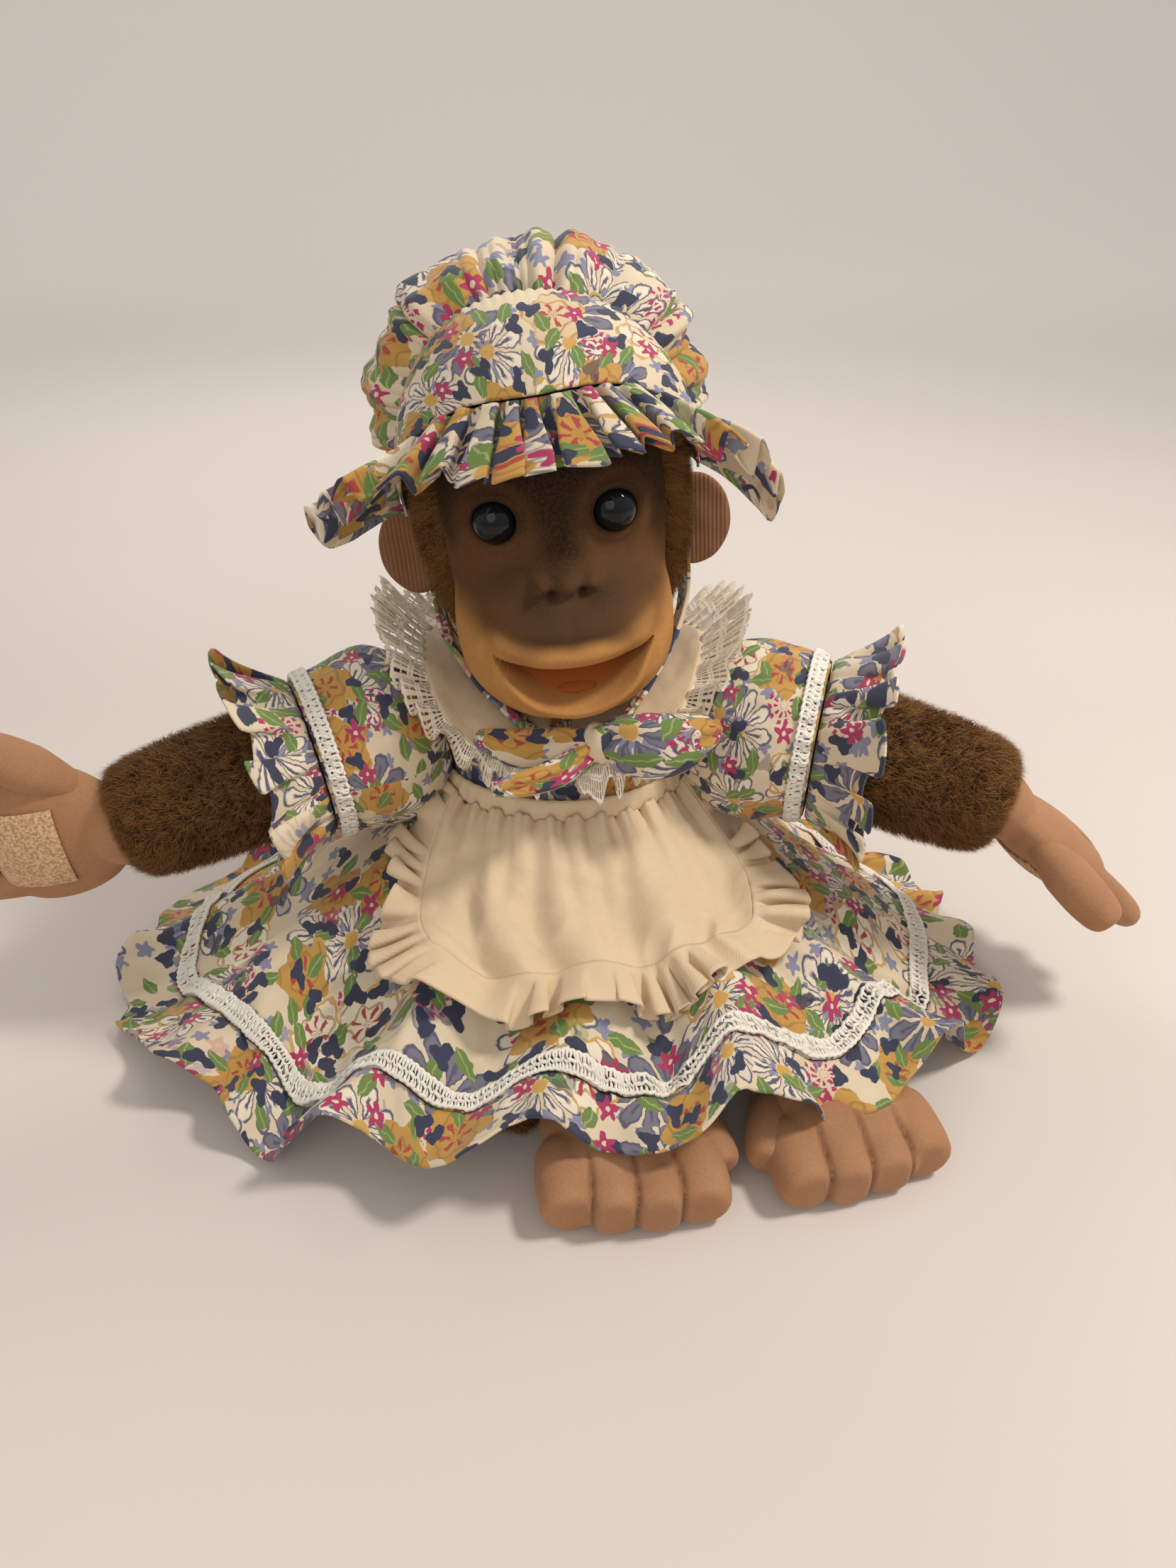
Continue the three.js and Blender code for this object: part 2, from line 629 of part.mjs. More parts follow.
function skirtPoint(angle, share, smooth = 0) {
	const turn = rad(angle);
	const waist = torsoRadius(waistHeight) + clothThick / 2 + seatGap;
	const reach = mix(waist, hemReach(angle), share);
	const front = Math.exp(-(((angle - frontLiftAngle) / frontLiftSpread) ** 4));
	const hem = skirtHemHeight + skirtFrontLift * front;
	const height = hem + (waistHeight - hem) * (1 - share) ** 1.45;
	const depth = Math.min(1, share * 1.6);
	const folded = Math.cos(turn * skirtFolds + 0.8 * Math.sin(2 * turn));
	const fold = mix(folded, 1, smooth) * skirtFoldDepth * depth;
	const ripple = share > braidShare ? (share - braidShare) / (1 - braidShare) : 0;
	const wave = Math.cos(turn * flounceWaves + 1) * flounceDepth * ripple;
	const lift = Math.max(fold + wave, -hem + clothThick / 2 + 1);
	return new THREE.Vector3(
		torsoX + Math.sin(turn) * (reach + fold * 0.4),
		torsoY - Math.cos(turn) * torsoDepthShare * (reach + fold * 0.4),
		height + lift * 0.9 * depth,
	);
}

const skirtAngle = (u) => mix(skirtBackGap - 180, 180 - skirtBackGap, u);

const skirtRows = 3;
const skirtSolid = (room) => cloth(52, skirtRows, (u, v) => skirtPoint(skirtAngle(u), v * braidShare), { room });

// A place on the flat faces between the skirt's rows, for what is sewn onto it
function onSkirt(angle, share) {
	const row = braidShare / skirtRows;
	const above = Math.min(Math.floor(share / row), skirtRows - 1);
	return skirtPoint(angle, above * row).lerp(skirtPoint(angle, (above + 1) * row), share / row - above);
}

function makeDress(group) {
	const shell = cut(torsoForm(clothThick + seatGap), torsoForm(seatGap));
	const top = within(shell, [-90, -90, waistHeight + clothThick / 2 + seatGap], [90, 90, torsoHeight - 1]);
	const holes = Object.keys(SIDES).map((side) => ball(shoulderPoint(side), shoulderBall + 2));
	group.add(piece('dress_bodice', mainPiece(cut(top, ...holes, toSolid(backGap()))), 'print'));

	group.add(piece('dress_skirt', skirtSolid(0), 'print'));
	const start = braidShare + 0.006;
	const flounce = cloth(52, 1, (u, v) => skirtPoint(skirtAngle(u), mix(start, 1, v)));
	group.add(piece('hem_flounce', cut(flounce, skirtSolid(seatGap)), 'print'));
	const braid = cloth(52, 1, (u, v) => onSkirt(skirtAngle(u), mix(braidShare - 0.07, braidShare, v)), {
		thick: braidThick,
		lift: -(clothThick + braidThick) / 2 - seatGap,
	});
	group.add(piece('skirt_braid', braid, 'gimp'));
}

// A wedge that opens the back of the dress
function backGap() {
	const half = Math.tan(rad(skirtBackGap)) * 90;
	const outline = new THREE.Shape([new THREE.Vector2(0, 10), new THREE.Vector2(half, 90), new THREE.Vector2(-half, 90)]);
	const form = new THREE.ExtrudeGeometry(outline, { depth: 120, bevelEnabled: false });
	form.translate(torsoX, torsoY, 20);
	return form;
}

// Apron, laid on the skirt

const apronLift = -(clothThick + seatGap) - 0.6;
const apronSpan = (share) => apronTopSpan.map((angle, k) => mix(angle, apronHemSpan[k], share));

function apronPoint(u, v) {
	const [from, to] = apronSpan(v);
	return skirtPoint(mix(from, to, u), 0.02 + v * apronDrop, apronSmooth);
}

const apronPanel = (room) => cloth(16, 3, apronPoint, { lift: apronLift, room });

// The ruffle runs down one side of the panel, along its hem and up the other side
function apronEdgePoint(u, v) {
	const out = v * apronRuffle + 2.2 * seatGap;
	const way = THREE.MathUtils.clamp(u, 0, 1);
	const sideShare = 0.3;
	let border;
	let outward;
	if (way < sideShare) {
		border = [0, way / sideShare];
		outward = [-1, border[1] ** 2];
	} else if (way > 1 - sideShare) {
		border = [1, (1 - way) / sideShare];
		outward = [1, border[1] ** 2];
	} else {
		border = [(way - sideShare) / (1 - 2 * sideShare), 1];
		outward = [2 * border[0] - 1, 1];
	}
	const [from, to] = apronSpan(border[1]);
	const share = 0.02 + border[1] * apronDrop;
	const reach = mix(torsoRadius(waistHeight), skirtReach.front, share);
	const long = Math.hypot(...outward);
	const angle = mix(from, to, border[0]) + THREE.MathUtils.radToDeg(((outward[0] / long) * out) / reach);
	const down = share + ((outward[1] / long) * out) / (skirtReach.front - waistRadius);
	return skirtPoint(angle, Math.max(0.02, down), apronSmooth);
}

const apronEdge = (room) => cloth(40, 1, apronEdgePoint, { lift: apronLift - 0.2, room });

function makeApron(group) {
	group.add(piece('apron_panel', mainPiece(cut(apronPanel(0), skirtSolid(seatGap))), 'cotton'));
	const ruffle = cut(apronEdge(0), apronPanel(seatGap), skirtSolid(seatGap));
	group.add(piece('apron_ruffle', mainPiece(ruffle), 'cotton'));
}

// The apron's band round the waist, the bow of its strings and the tab that closes the dress behind

function bodiceRing(angle, height) {
	const turn = rad(angle);
	const reach = torsoRadius(height) + clothThick * 1.5 + 2 * seatGap + 0.5;
	return new THREE.Vector3(torsoX + Math.sin(turn) * reach, torsoY - Math.cos(turn) * reach * torsoDepthShare, height);
}

const bandFoot = waistHeight + 1;
const waistband = (room) =>
	cloth(26, 1, (u, v) => bodiceRing(mix(-177, 177, u), bandFoot + v * waistbandWidth), { room });

function stringBow(grow) {
	const centre = new THREE.Vector3(torsoX, torsoY + (waistRadius + 9) * torsoDepthShare, bandFoot + waistbandWidth / 2);
	const parts = [blob(centre.toArray(), [7, 5, 6.5], { grow, around: 8, along: 5 })];
	for (const sign of Object.values(SIDES)) {
		const shape = { grow, wide: [0, 0, 1], flat: 0.42, around: 8, along: 4 };
		const loopEnd = centre.clone().add(new THREE.Vector3(sign * 36, 3, 1));
		const tailEnd = centre.clone().add(new THREE.Vector3(sign * 47, 9, -26));
		const start = centre.clone().add(new THREE.Vector3(sign * 3, 1, 0));
		parts.push(limb(line(start, loopEnd), (t) => 6 + 6 * Math.sin(Math.PI * t), shape));
		const bend = centre.clone().add(new THREE.Vector3(sign * 27, 5, -10));
		parts.push(limb(line(start, bend, tailEnd), () => 5, shape));
	}
	return join(...parts);
}

function makeWaist(group) {
	const bodice = torsoForm(clothThick + 2 * seatGap);
	const arms = Object.keys(SIDES).map((side) => ball(shoulderPoint(side), shoulderBall + 2.5));
	const band = cut(waistband(0), stringBow(seatGap), bodice, ...arms);
	group.add(piece('apron_waistband', mainPiece(band), 'cotton'));
	group.add(piece('apron_bow', mainPiece(cut(stringBow(0), bodice, apronPanel(seatGap), skirtSolid(seatGap))), 'cotton'));
	const tab = cloth(8, 1, (u, v) => bodiceRing(mix(...tabSpan, u), tabHeight + v * tabWidth), { thick: braidThick });
	group.add(piece('placket_tab', mainPiece(cut(tab, bodice)), 'hook'));
}

// Collar leaves and their lace

function collarPoint(angle, out) {
	const turn = rad(angle);
	const side = Math.sin(turn) ** 2;
	const share = Math.min(1, out / 56);
	const over = collarNeck + 36 * Math.sin((share * Math.PI) / 2);
	const flat = collarNeck + out * 0.95;
	const reach = mix(over, flat, side);
	const height = mix(collarHeight - 24 * share ** 2, collarHeight + 2 + out * 0.44, side);
	return new THREE.Vector3(torsoX + Math.sin(turn) * reach, -Math.cos(turn) * reach, height);
}

function makeCollar(group) {
	for (const [side, sign] of Object.entries(SIDES)) {
		const angle = (u) => sign * mix(6, 158, u);
		const width = (u) => collarReach * (1 - 0.35 * Math.exp(-u * 9) - 0.2 * u);
		const leaf = cloth(12, 3, (u, v) => collarPoint(angle(u), v * width(u)), { thick: clothThick });
		group.add(piece(`collar_${side}`, leaf, 'cotton'));
		const lace = cloth(24, 1, (u, v) => {
			const out = width(u) + clothThick / 4 + seatGap + v * laceWidth;
			const place = collarPoint(angle(u), out);
			place.z += Math.cos(u * 2 * Math.PI * 12) * 2 * v;
			return place;
		}, { thick: laceThick });
		group.add(piece(`collar_lace_${side}`, lace, 'lace'));
	}
}

// Neck and head

function makeNeck(group) {
	const tube = new THREE.CylinderGeometry(neckTubeRadius, neckTubeRadius, 34, 16);
	tube.rotateX(Math.PI / 2);
	tube.translate(neckPivot.x, neckPivot.y, neckPivot.z - 21);
	const bore = new THREE.CylinderGeometry(neckBore, neckBore, 90, 12);
	bore.rotateX(Math.PI / 2);
	bore.translate(...neckPivot.toArray());
	group.add(piece('neck_tube', cut(join(toSolid(tube), ball(neckPivot, neckBallRadius, { around: 16, along: 9 })), toSolid(bore)), 'plush'));
}

const headForm = (grow) => blob(headCentre, headRadii, { grow, around: 16, along: 9 });
const faceForm = (grow) => blob(faceCentre, faceRadii, { grow, around: 16, along: 9 });
const muzzleForm = (grow) => blob(muzzleCentre, muzzleRadii, { grow, around: 16, along: 8 });
const jawCentre = [muzzleCentre[0], muzzleCentre[1] - jawForward, muzzleCentre[2] - jawDrop];
const jawForm = (grow) => blob(jawCentre, muzzleRadii, { grow, around: 16, along: 8 });
const noseForm = (grow) => blob(noseCentre, noseRadii, { grow, around: 8, along: 6 });
const eyePlace = (side) => [(SIDES[side] * eyeSpacing) / 2, eyeDepth, eyeHeight];

// Everything below a plane at the jaw's hinge, or at another height there, that drops towards the front
function belowPlane(drop, height = jawHingeZ) {
	const block = new THREE.BoxGeometry(140, 180, 100);
	block.translate(0, -60, -50);
	block.rotateX(rad(drop));
	block.translate(0, jawHingeY, height);
	return toSolid(block);
}

// The neck below its ball, with room round it for the chin
function throat(room) {
	const form = new THREE.CylinderGeometry(neckTubeRadius + room, neckTubeRadius + room, 60, 20);
	form.rotateX(Math.PI / 2);
	form.translate(0, 0, -30);
	return toSolid(form);
}

function makeHead(group) {
	const front = (solid, edge) => within(solid, [-90, -90, -60], [90, edge, 140]);
	const wholeFace = join(faceForm(0), muzzleForm(0), noseForm(0));
	const hollowFace = join(faceForm(-maskWall), muzzleForm(-maskWall));
	const sockets = Object.keys(SIDES).map((side) => ball(eyePlace(side), eyeRadius + seatGap, { around: 12, along: 7 }));
	const belowLip = belowPlane(0);
	const mask = cut(front(wholeFace, maskBack), hollowFace, belowLip, ...sockets);
	group.add(piece('face_mask', mainPiece(mask), 'skin'));

	const chin = front(jawForm(0), jawHingeY - jawSeat).intersect(belowPlane(mouthAngle));
	const underside = belowPlane(chinAngle, chinRear);
	const jaw = cut(chin, jawForm(-maskWall), underside, ball([0, 0, 0], neckBallRadius + jawSweep / 2), throat(jawSweep));
	group.add(piece('lower_jaw', mainPiece(jaw), 'skin'));

	for (const side of Object.keys(SIDES)) group.add(piece(`eye_${side}`, ball(eyePlace(side), eyeRadius, { around: 12, along: 7 }), 'eye'));

	const maskRoom = front(join(faceForm(seatGap), muzzleForm(seatGap)), maskBack + seatGap);
	const neckRoom = ball([0, 0, 0], neckBallRadius + neckGap, { around: 16, along: 9 });
	const jawRoom = within(muzzleForm(6), [-90, -90, -60], [90, 20, jawHingeZ]);
	const fur = cut(headForm(0), headForm(-headWall), maskRoom, neckRoom, jawRoom);
	group.add(piece('head_plush', mainPiece(fur), 'plush'));

	for (const [side, sign] of Object.entries(SIDES)) {
		const [x, y, z] = earCentre;
		const ear = blob([sign * x, y, z], earRadii, { around: 10, along: 7 });
		group.add(piece(`ear_${side}`, mainPiece(cut(ear, headForm(seatGap), bandSolid(seatGap))), 'velour'));
	}

	const upper = limb(
		line(new THREE.Vector3(0, -13, 21), new THREE.Vector3(0, -56, 22)), () => 22, { wide: [1, 0, 0], flat: 0.36, around: 10, along: 5 });
	const upperHollow = limb(
		line(new THREE.Vector3(0, -5, 21), new THREE.Vector3(0, -50, 22)), () => 20.4, { wide: [1, 0, 0], flat: 0.32, around: 10, along: 5 });
	const inFace = join(faceForm(-maskWall - seatGap), muzzleForm(-maskWall - seatGap));
	group.add(piece('finger_pocket', mainPiece(cut(upper, upperHollow, neckRoom).intersect(inFace)), 'lining'));

	const lower = blob(thumbPocketCentre, thumbPocketRadii, { around: 9, along: 5 });
	const lowerHollow = blob(thumbHollowCentre, thumbHollowRadii, { around: 9, along: 5 });
	const inJaw = jawForm(-maskWall - seatGap);
	group.add(piece('thumb_pocket', mainPiece(cut(lower, lowerHollow).intersect(inJaw).intersect(belowPlane(mouthAngle + 1))), 'lining'));
}

// Bonnet: places on a dome, by the angle over the head from side to side and the angle forward

function askew(place) {
	const centre = point(bonnetCentre);
	return place.sub(centre).applyAxisAngle(axisY, rad(bonnetRoll)).add(centre);
}

function domePoint(over, forward, grow = 0) {
	const [a, b] = [rad(over), rad(forward)];
	const direction = [Math.sin(a) * Math.cos(b), -Math.sin(b), Math.cos(a) * Math.cos(b)];
	return point(direction.map((value, k) => bonnetCentre[k] + value * (bonnetRadii[k] + grow)));
}

const seamForward = (over) => 4 + 50 * Math.max(0, Math.cos(rad(over))) ** 0.9;
const rucheForward = (over) => -24 + 36 * Math.max(0, Math.cos(rad(over)));

const over = (u) => mix(-bandEnd, bandEnd, u);
const bandPlace = (u, v) => askew(domePoint(over(u), mix(rucheForward(over(u)), seamForward(over(u)), v)));
const bandSolid = (room) => cloth(18, 2, bandPlace, { room });

function makeBonnet(group) {
	group.add(piece('bonnet_band', bandSolid(0), 'print'));

	const brim = cloth(60, 1, (u, v) => {
		const angle = over(u);
		const front = Math.max(0, Math.cos(rad(angle)));
		const seam = domePoint(angle, seamForward(angle));
		const outward = new THREE.Vector3(Math.sin(rad(angle)) * 0.95, -0.34 * front, -0.94 * front - 0.1 * (1 - front)).normalize();
		const pleat = Math.cos(u * 2 * Math.PI * brimPleats) * 1.9 * Math.min(1, v + 0.15);
		const normal = new THREE.Vector3(Math.sin(rad(angle)), -front, 0.2).normalize();
		seam.addScaledVector(outward, clothThick / 2 + seatGap + v * (brimWidth + brimFlare * (1 - front) ** 2));
		seam.addScaledVector(normal, pleat);
		return askew(seam);
	});
	group.add(piece('bonnet_brim', cut(brim, bandSolid(seatGap)), 'print'));

	const puff = (shrink) => {
		const form = new THREE.SphereGeometry(1, 32, 7);
		form.rotateX(Math.PI / 2 - Math.PI / 2);
		const places = form.getAttribute('position');
		for (let i = 0; i < places.count; i++) {
			const direction = new THREE.Vector3().fromBufferAttribute(places, i);
			const ring = Math.hypot(direction.x, direction.z);
			const angle = Math.atan2(direction.x, direction.z);
			const ruche = 1 + 0.035 * ring ** 2 * Math.cos(crownPuffs * angle);
			const place = [0, 1, 2].map((k) => crownCentre[k] + direction.getComponent(k) * (crownRadii[k] * ruche - shrink));
			places.setXYZ(i, ...askew(point(place)).toArray());
		}
		return toSolid(form);
	};
	const dome = blob(bonnetCentre, bonnetRadii, { grow: clothThick / 2 + seatGap, around: 16, along: 9, turn: new THREE.Euler(0, rad(bonnetRoll), 0) });
	const crown = cut(puff(0), puff(clothThick), headForm(seatGap), dome, bandSolid(seatGap));
	group.add(piece('bonnet_crown', mainPiece(crown), 'print'));
}

// The straps run down the cheeks to a bow under the chin

function chinBow(grow) {
	const knot = point(bowKnot);
	const flatLoop = { grow, wide: [0, -0.95, -0.2], flat: 0.55, around: 8, along: 5 };
	const swell = (thin, thick) => (t) => mix(thin, thick, Math.sin(Math.PI * Math.min(1, 0.15 + t * 0.85)));
	return join(
		blob(bowKnot, [7.5, 6, 5.5], { grow, around: 8, along: 5 }),
		limb(line(knot, new THREE.Vector3(-18, -53, -21), new THREE.Vector3(-37, -46, -15)), swell(4, 8), flatLoop),
		limb(line(knot, new THREE.Vector3(30, -61, -21), new THREE.Vector3(51, -61, -17)), swell(5, 11), flatLoop),
		limb(line(knot, new THREE.Vector3(-12, -63, -27), new THREE.Vector3(-34, -67, -29)), () => 4.5, flatLoop),
	);
}

function makeTies(group) {
	group.add(piece('chin_bow', chinBow(0), 'print'));
	for (const [side, sign] of Object.entries(SIDES)) {
		const path = new THREE.CatmullRomCurve3(
			[
				[51, 3, 48],
				[48, -5, 25],
				[43, -15, 2],
				[27, -36, -13.5],
				[14, -51, -22],
			].map(([x, y, z]) => new THREE.Vector3(sign * x, y, z)),
		);
		const strap = cloth(10, 1, (u, v) => {
			const share = THREE.MathUtils.clamp(u, 0, 1);
			const place = path.getPoint(share);
			const outward = place.clone().sub(point(faceCentre)).normalize();
			const across = path.getTangent(share).cross(outward).normalize();
			return place.addScaledVector(across, (v - 0.5) * strapWidth);
		}, { thick: strapThick });
		group.add(piece(`bonnet_strap_${side}`, mainPiece(cut(strap, chinBow(seatGap), bandSolid(seatGap))), 'print'));
	}
}

const puppet = new THREE.Group();
makeTorso(puppet);
makeDress(puppet);
makeApron(puppet);
makeWaist(puppet);
makeCollar(puppet);
makeNeck(puppet);
const head = new THREE.Group();
head.position.copy(neckPivot);
head.rotation.set(0, rad(headRoll), rad(headTurn), 'ZYX');
makeHead(head);
makeBonnet(head);
makeTies(head);
puppet.add(head);
for (const side of Object.keys(SIDES)) {
	makeArm(puppet, side);
	makeLeg(puppet, side);
}

export default puppet;
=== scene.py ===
"""A seated monkey hand puppet in a floral dress, a cream apron, a lace collar and a bonnet.

Millimetres while a piece is shaped, metres once its mesh is finished. Left and right are as seen from
the front.
"""

import math
from bisect import bisect_left
from functools import lru_cache

import bmesh
import bpy
import numpy as np
from bpy.props import FloatProperty, FloatVectorProperty, PointerProperty
from mathutils import Matrix, Vector, noise


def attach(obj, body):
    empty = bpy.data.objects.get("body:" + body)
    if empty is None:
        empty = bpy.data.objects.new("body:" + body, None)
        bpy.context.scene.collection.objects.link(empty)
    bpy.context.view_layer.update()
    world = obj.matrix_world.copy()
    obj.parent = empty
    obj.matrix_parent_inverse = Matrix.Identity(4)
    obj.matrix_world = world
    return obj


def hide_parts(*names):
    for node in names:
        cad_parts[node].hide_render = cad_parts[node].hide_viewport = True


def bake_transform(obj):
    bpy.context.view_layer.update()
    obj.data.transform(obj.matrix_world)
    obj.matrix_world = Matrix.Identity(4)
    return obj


bl_info = {
    "name": "Seated monkey puppet", "version": (1, 0, 0), "blender": (4, 5, 0),
    "location": "3D View > Sidebar > Puppet",
    "description": "Builds the plush, the face and the clothes of a seated hand puppet",
    "category": "Object"
}

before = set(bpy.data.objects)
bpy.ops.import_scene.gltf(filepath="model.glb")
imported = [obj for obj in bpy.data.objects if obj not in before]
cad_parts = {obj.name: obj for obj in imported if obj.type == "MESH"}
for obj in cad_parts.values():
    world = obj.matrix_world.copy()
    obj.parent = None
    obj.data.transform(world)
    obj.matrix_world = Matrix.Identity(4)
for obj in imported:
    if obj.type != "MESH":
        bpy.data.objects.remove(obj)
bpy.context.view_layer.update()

MM = 0.001
TURN = 2 * math.pi
SIDES = {"left": -1, "right": 1}


# Numbers and places


def mix(a, b, share):
    return a + (b - a) * share


def clamp(value, low=0.0, high=1.0):
    return max(low, min(high, value))


def wander(x, y, seed=0.0):
    """A smooth random number from -1 to 1 for a place on a piece."""
    return noise.noise(Vector((x, y, seed)))


def frilled(phase, square=1.3, fold=0.12):
    """A gathered edge seen end on, at a phase counted in frills: its height from -1 to 1, and how far the
    cloth folds over sideways, in frills."""
    turn = TURN * phase
    return math.tanh(square * math.cos(turn)) / math.tanh(square), fold * math.sin(2 * turn)


def smooth_path(points):
    """A curve through points: gives the place at a share of the way from 0 to 1."""
    spots = [Vector(point) for point in points]
    last = len(spots) - 1

    def place(share):
        at = clamp(share) * last
        first = min(int(at), last - 1)
        t = at - first
        a = spots[max(first - 1, 0)]
        b = spots[first]
        c = spots[first + 1]
        d = spots[min(first + 2, last)]
        return 0.5 * (
            2 * b + (c - a) * t + (2 * a - 5 * b + 4 * c - d) * t * t + (3 * b - a - 3 * c + d) * t**3
        )

    return place


def normal_of(place, u, v, step=2e-3):
    along_u = place(u + step, v) - place(u - step, v)
    along_v = place(u, v + step) - place(u, v - step)
    return along_u.cross(along_v).normalized()


# Frames: the head's own axes stand on the neck's pivot

NECK_PIVOT = Vector((3, 0, 148))
HEAD_AXES = (
    Matrix.Translation(NECK_PIVOT)
    @ Matrix.Rotation(math.radians(4), 4, "Z")
    @ Matrix.Rotation(math.radians(-5), 4, "Y")
)


def on_head(place):
    return HEAD_AXES @ Vector(place)


# Materials


class Value:
    """A number that changes over a surface. Arithmetic on it adds the nodes that work it out."""

    def __init__(self, finish, socket):
        self.finish = finish
        self.socket = socket

    def maths(self, operation, *values):
        node = self.finish.node("ShaderNodeMath", {"operation": operation}, dict(enumerate(values)))
        return Value(self.finish, node.outputs[0])

    def __add__(self, other):
        return self.maths("ADD", self, other)

    __radd__ = __add__

    def __sub__(self, other):
        return self.maths("SUBTRACT", self, other)

    def __rsub__(self, other):
        return self.maths("SUBTRACT", other, self)

    def __mul__(self, other):
        return self.maths("MULTIPLY", self, other)

    __rmul__ = __mul__

    def __truediv__(self, other):
        return self.maths("DIVIDE", self, other)

    def __abs__(self):
        return self.maths("ABSOLUTE", self)

    def sine(self):
        return self.maths("SINE", self)

    def cosine(self):
        return self.maths("COSINE", self)

    def over(self, edge, soft=0.02):
        """1 where this is over the edge, 0 where it is under, with a soft change between."""
        node = self.finish.node(
            "ShaderNodeMapRange", {"clamp": True},
            {"Value": self, "From Min": edge - soft, "From Max": edge + soft}
        )
        return Value(self.finish, node.outputs[0])

    def under(self, edge, soft=0.02):
        return 1 - self.over(edge, soft)


class Finish:
    """A material, its shader and the nodes that paint it."""

    def __init__(self, name, **constants):
        self.material = bpy.data.materials.new(name)
        self.material.use_nodes = True
        self.tree = self.material.node_tree
        self.shader = self.tree.nodes["Principled BSDF"]
        self.colour = None
        for socket, value in constants.items():
            self.shader.inputs[socket.replace("_", " ")].default_value = value

    def node(self, kind, settings, values):
        node = self.tree.nodes.new(kind)
        for setting, value in settings.items():
            setattr(node, setting, value)
        for socket, value in values.items():
            self.feed(node.inputs[socket], value)
        return node

    def feed(self, socket, value):
        if isinstance(value, Value):
            self.tree.links.new(value.socket, socket)
        elif isinstance(value, bpy.types.NodeSocket):
            self.tree.links.new(value, socket)
        else:
            socket.default_value = value

    def paint(self, socket, value):
        self.feed(self.shader.inputs[socket], value)

    def object_place(self):
        return self.node("ShaderNodeTexCoord", {}, {}).outputs["Object"]

    def cloth_place(self):
        """The place on the flat cloth, in millimetres."""
        spot = self.node("ShaderNodeUVMap", {"uv_map": "cloth"}, {}).outputs[0]
        return self.vector("MULTIPLY", spot, (1000.0, 1000.0, 0.0))

    def attribute(self, name):
        return Value(self, self.node("ShaderNodeAttribute", {"attribute_name": name}, {}).outputs["Fac"])

    def vector(self, operation, *values):
        node = self.node("ShaderNodeVectorMath", {"operation": operation}, dict(enumerate(values)))
        return node.outputs[0]

    def parts(self, vector):
        node = self.node("ShaderNodeSeparateXYZ", {}, {0: vector})
        return [Value(self, socket) for socket in node.outputs]

    def rough(self, place, size, detail=2.0, seed=0.0):
        """Soft blotches of a size, from 0 to 1."""
        values = {"Vector": place, "W": seed, "Scale": 1.0 / size, "Detail": detail}
        node = self.node("ShaderNodeTexNoise", {"noise_dimensions": "4D"}, values)
        return Value(self, node.outputs["Fac"])

    def blend(self, share, first, second):
        """A colour on the way from the first to the second."""
        values = {0: share, 6: first, 7: second}
        return self.node("ShaderNodeMix", {"data_type": "RGBA"}, values).outputs[2]

    def lay(self, share, tint):
        """Covers a share of the colour painted so far with another."""
        self.colour = self.blend(share, self.colour, tint)

    def done(self):
        self.paint("Base Color", self.colour)
        return self.material

    def bump(self, height, depth, strength=1.0):
        """Relief of a depth in millimetres."""
        values = {"Height": height, "Distance": depth * MM, "Strength": strength}
        self.paint("Normal", self.node("ShaderNodeBump", {}, values).outputs[0])


def linear(red, green, blue):
    """A colour written as it looks on a screen, from 0 to 255."""

    def channel(level):
        share = level / 255
        return share / 12.92 if share <= 0.04045 else ((share + 0.055) / 1.055) ** 2.4

    return (channel(red), channel(green), channel(blue), 1.0)


def spots(finish, place, size, seed, scatter=0.85):
    """Spots scattered about a size apart. Gives how far each place is from its nearest spot, the angle
    round that spot, and two numbers that are the spot's own."""
    moved = finish.vector("MULTIPLY_ADD", place, (1 / size, 1 / size, 0), (seed * 7.3, seed * 3.1, 0))
    node = finish.node(
        "ShaderNodeTexVoronoi", {"voronoi_dimensions": "2D"},
        {"Vector": moved, "Scale": 1.0, "Randomness": scatter}
    )
    x, y, _ = finish.parts(finish.vector("SUBTRACT", moved, node.outputs["Position"]))
    own = finish.node("ShaderNodeSeparateColor", {}, {0: node.outputs["Color"]})
    chance, other, turn = [Value(finish, socket) for socket in own.outputs]
    angle = y.maths("ARCTAN2", y, x) + turn * TURN
    return Value(finish, node.outputs["Distance"]) * size, angle, chance, other


def weave(finish, place, pitch):
    """Threads over and under, from -1 to 1."""
    x, y, _ = finish.parts(place)
    turn = TURN / pitch
    return (x * turn).sine() * (y * turn).sine()


def hand_drawn(finish, place, size, reach):
    """The place, shaken a little, so that what is drawn by it has no ruled edge."""
    values = {"Vector": place, "Scale": 1.0 / size}
    both = finish.node("ShaderNodeTexNoise", {"noise_dimensions": "2D"}, values).outputs["Color"]
    shaken = finish.vector("MULTIPLY_ADD", both, (2 * reach, 2 * reach, 0), (-reach, -reach, 0))
    return finish.vector("ADD", place, shaken)


GROUND = linear(226, 208, 178)
MUSTARD = linear(203, 158, 78)
RUST = linear(172, 62, 58)
SLATE = linear(116, 114, 128)
NAVY = linear(38, 48, 76)
LEAF = linear(104, 130, 64)
MAGENTA = linear(172, 44, 92)


PRINT_SCALE = 0.82


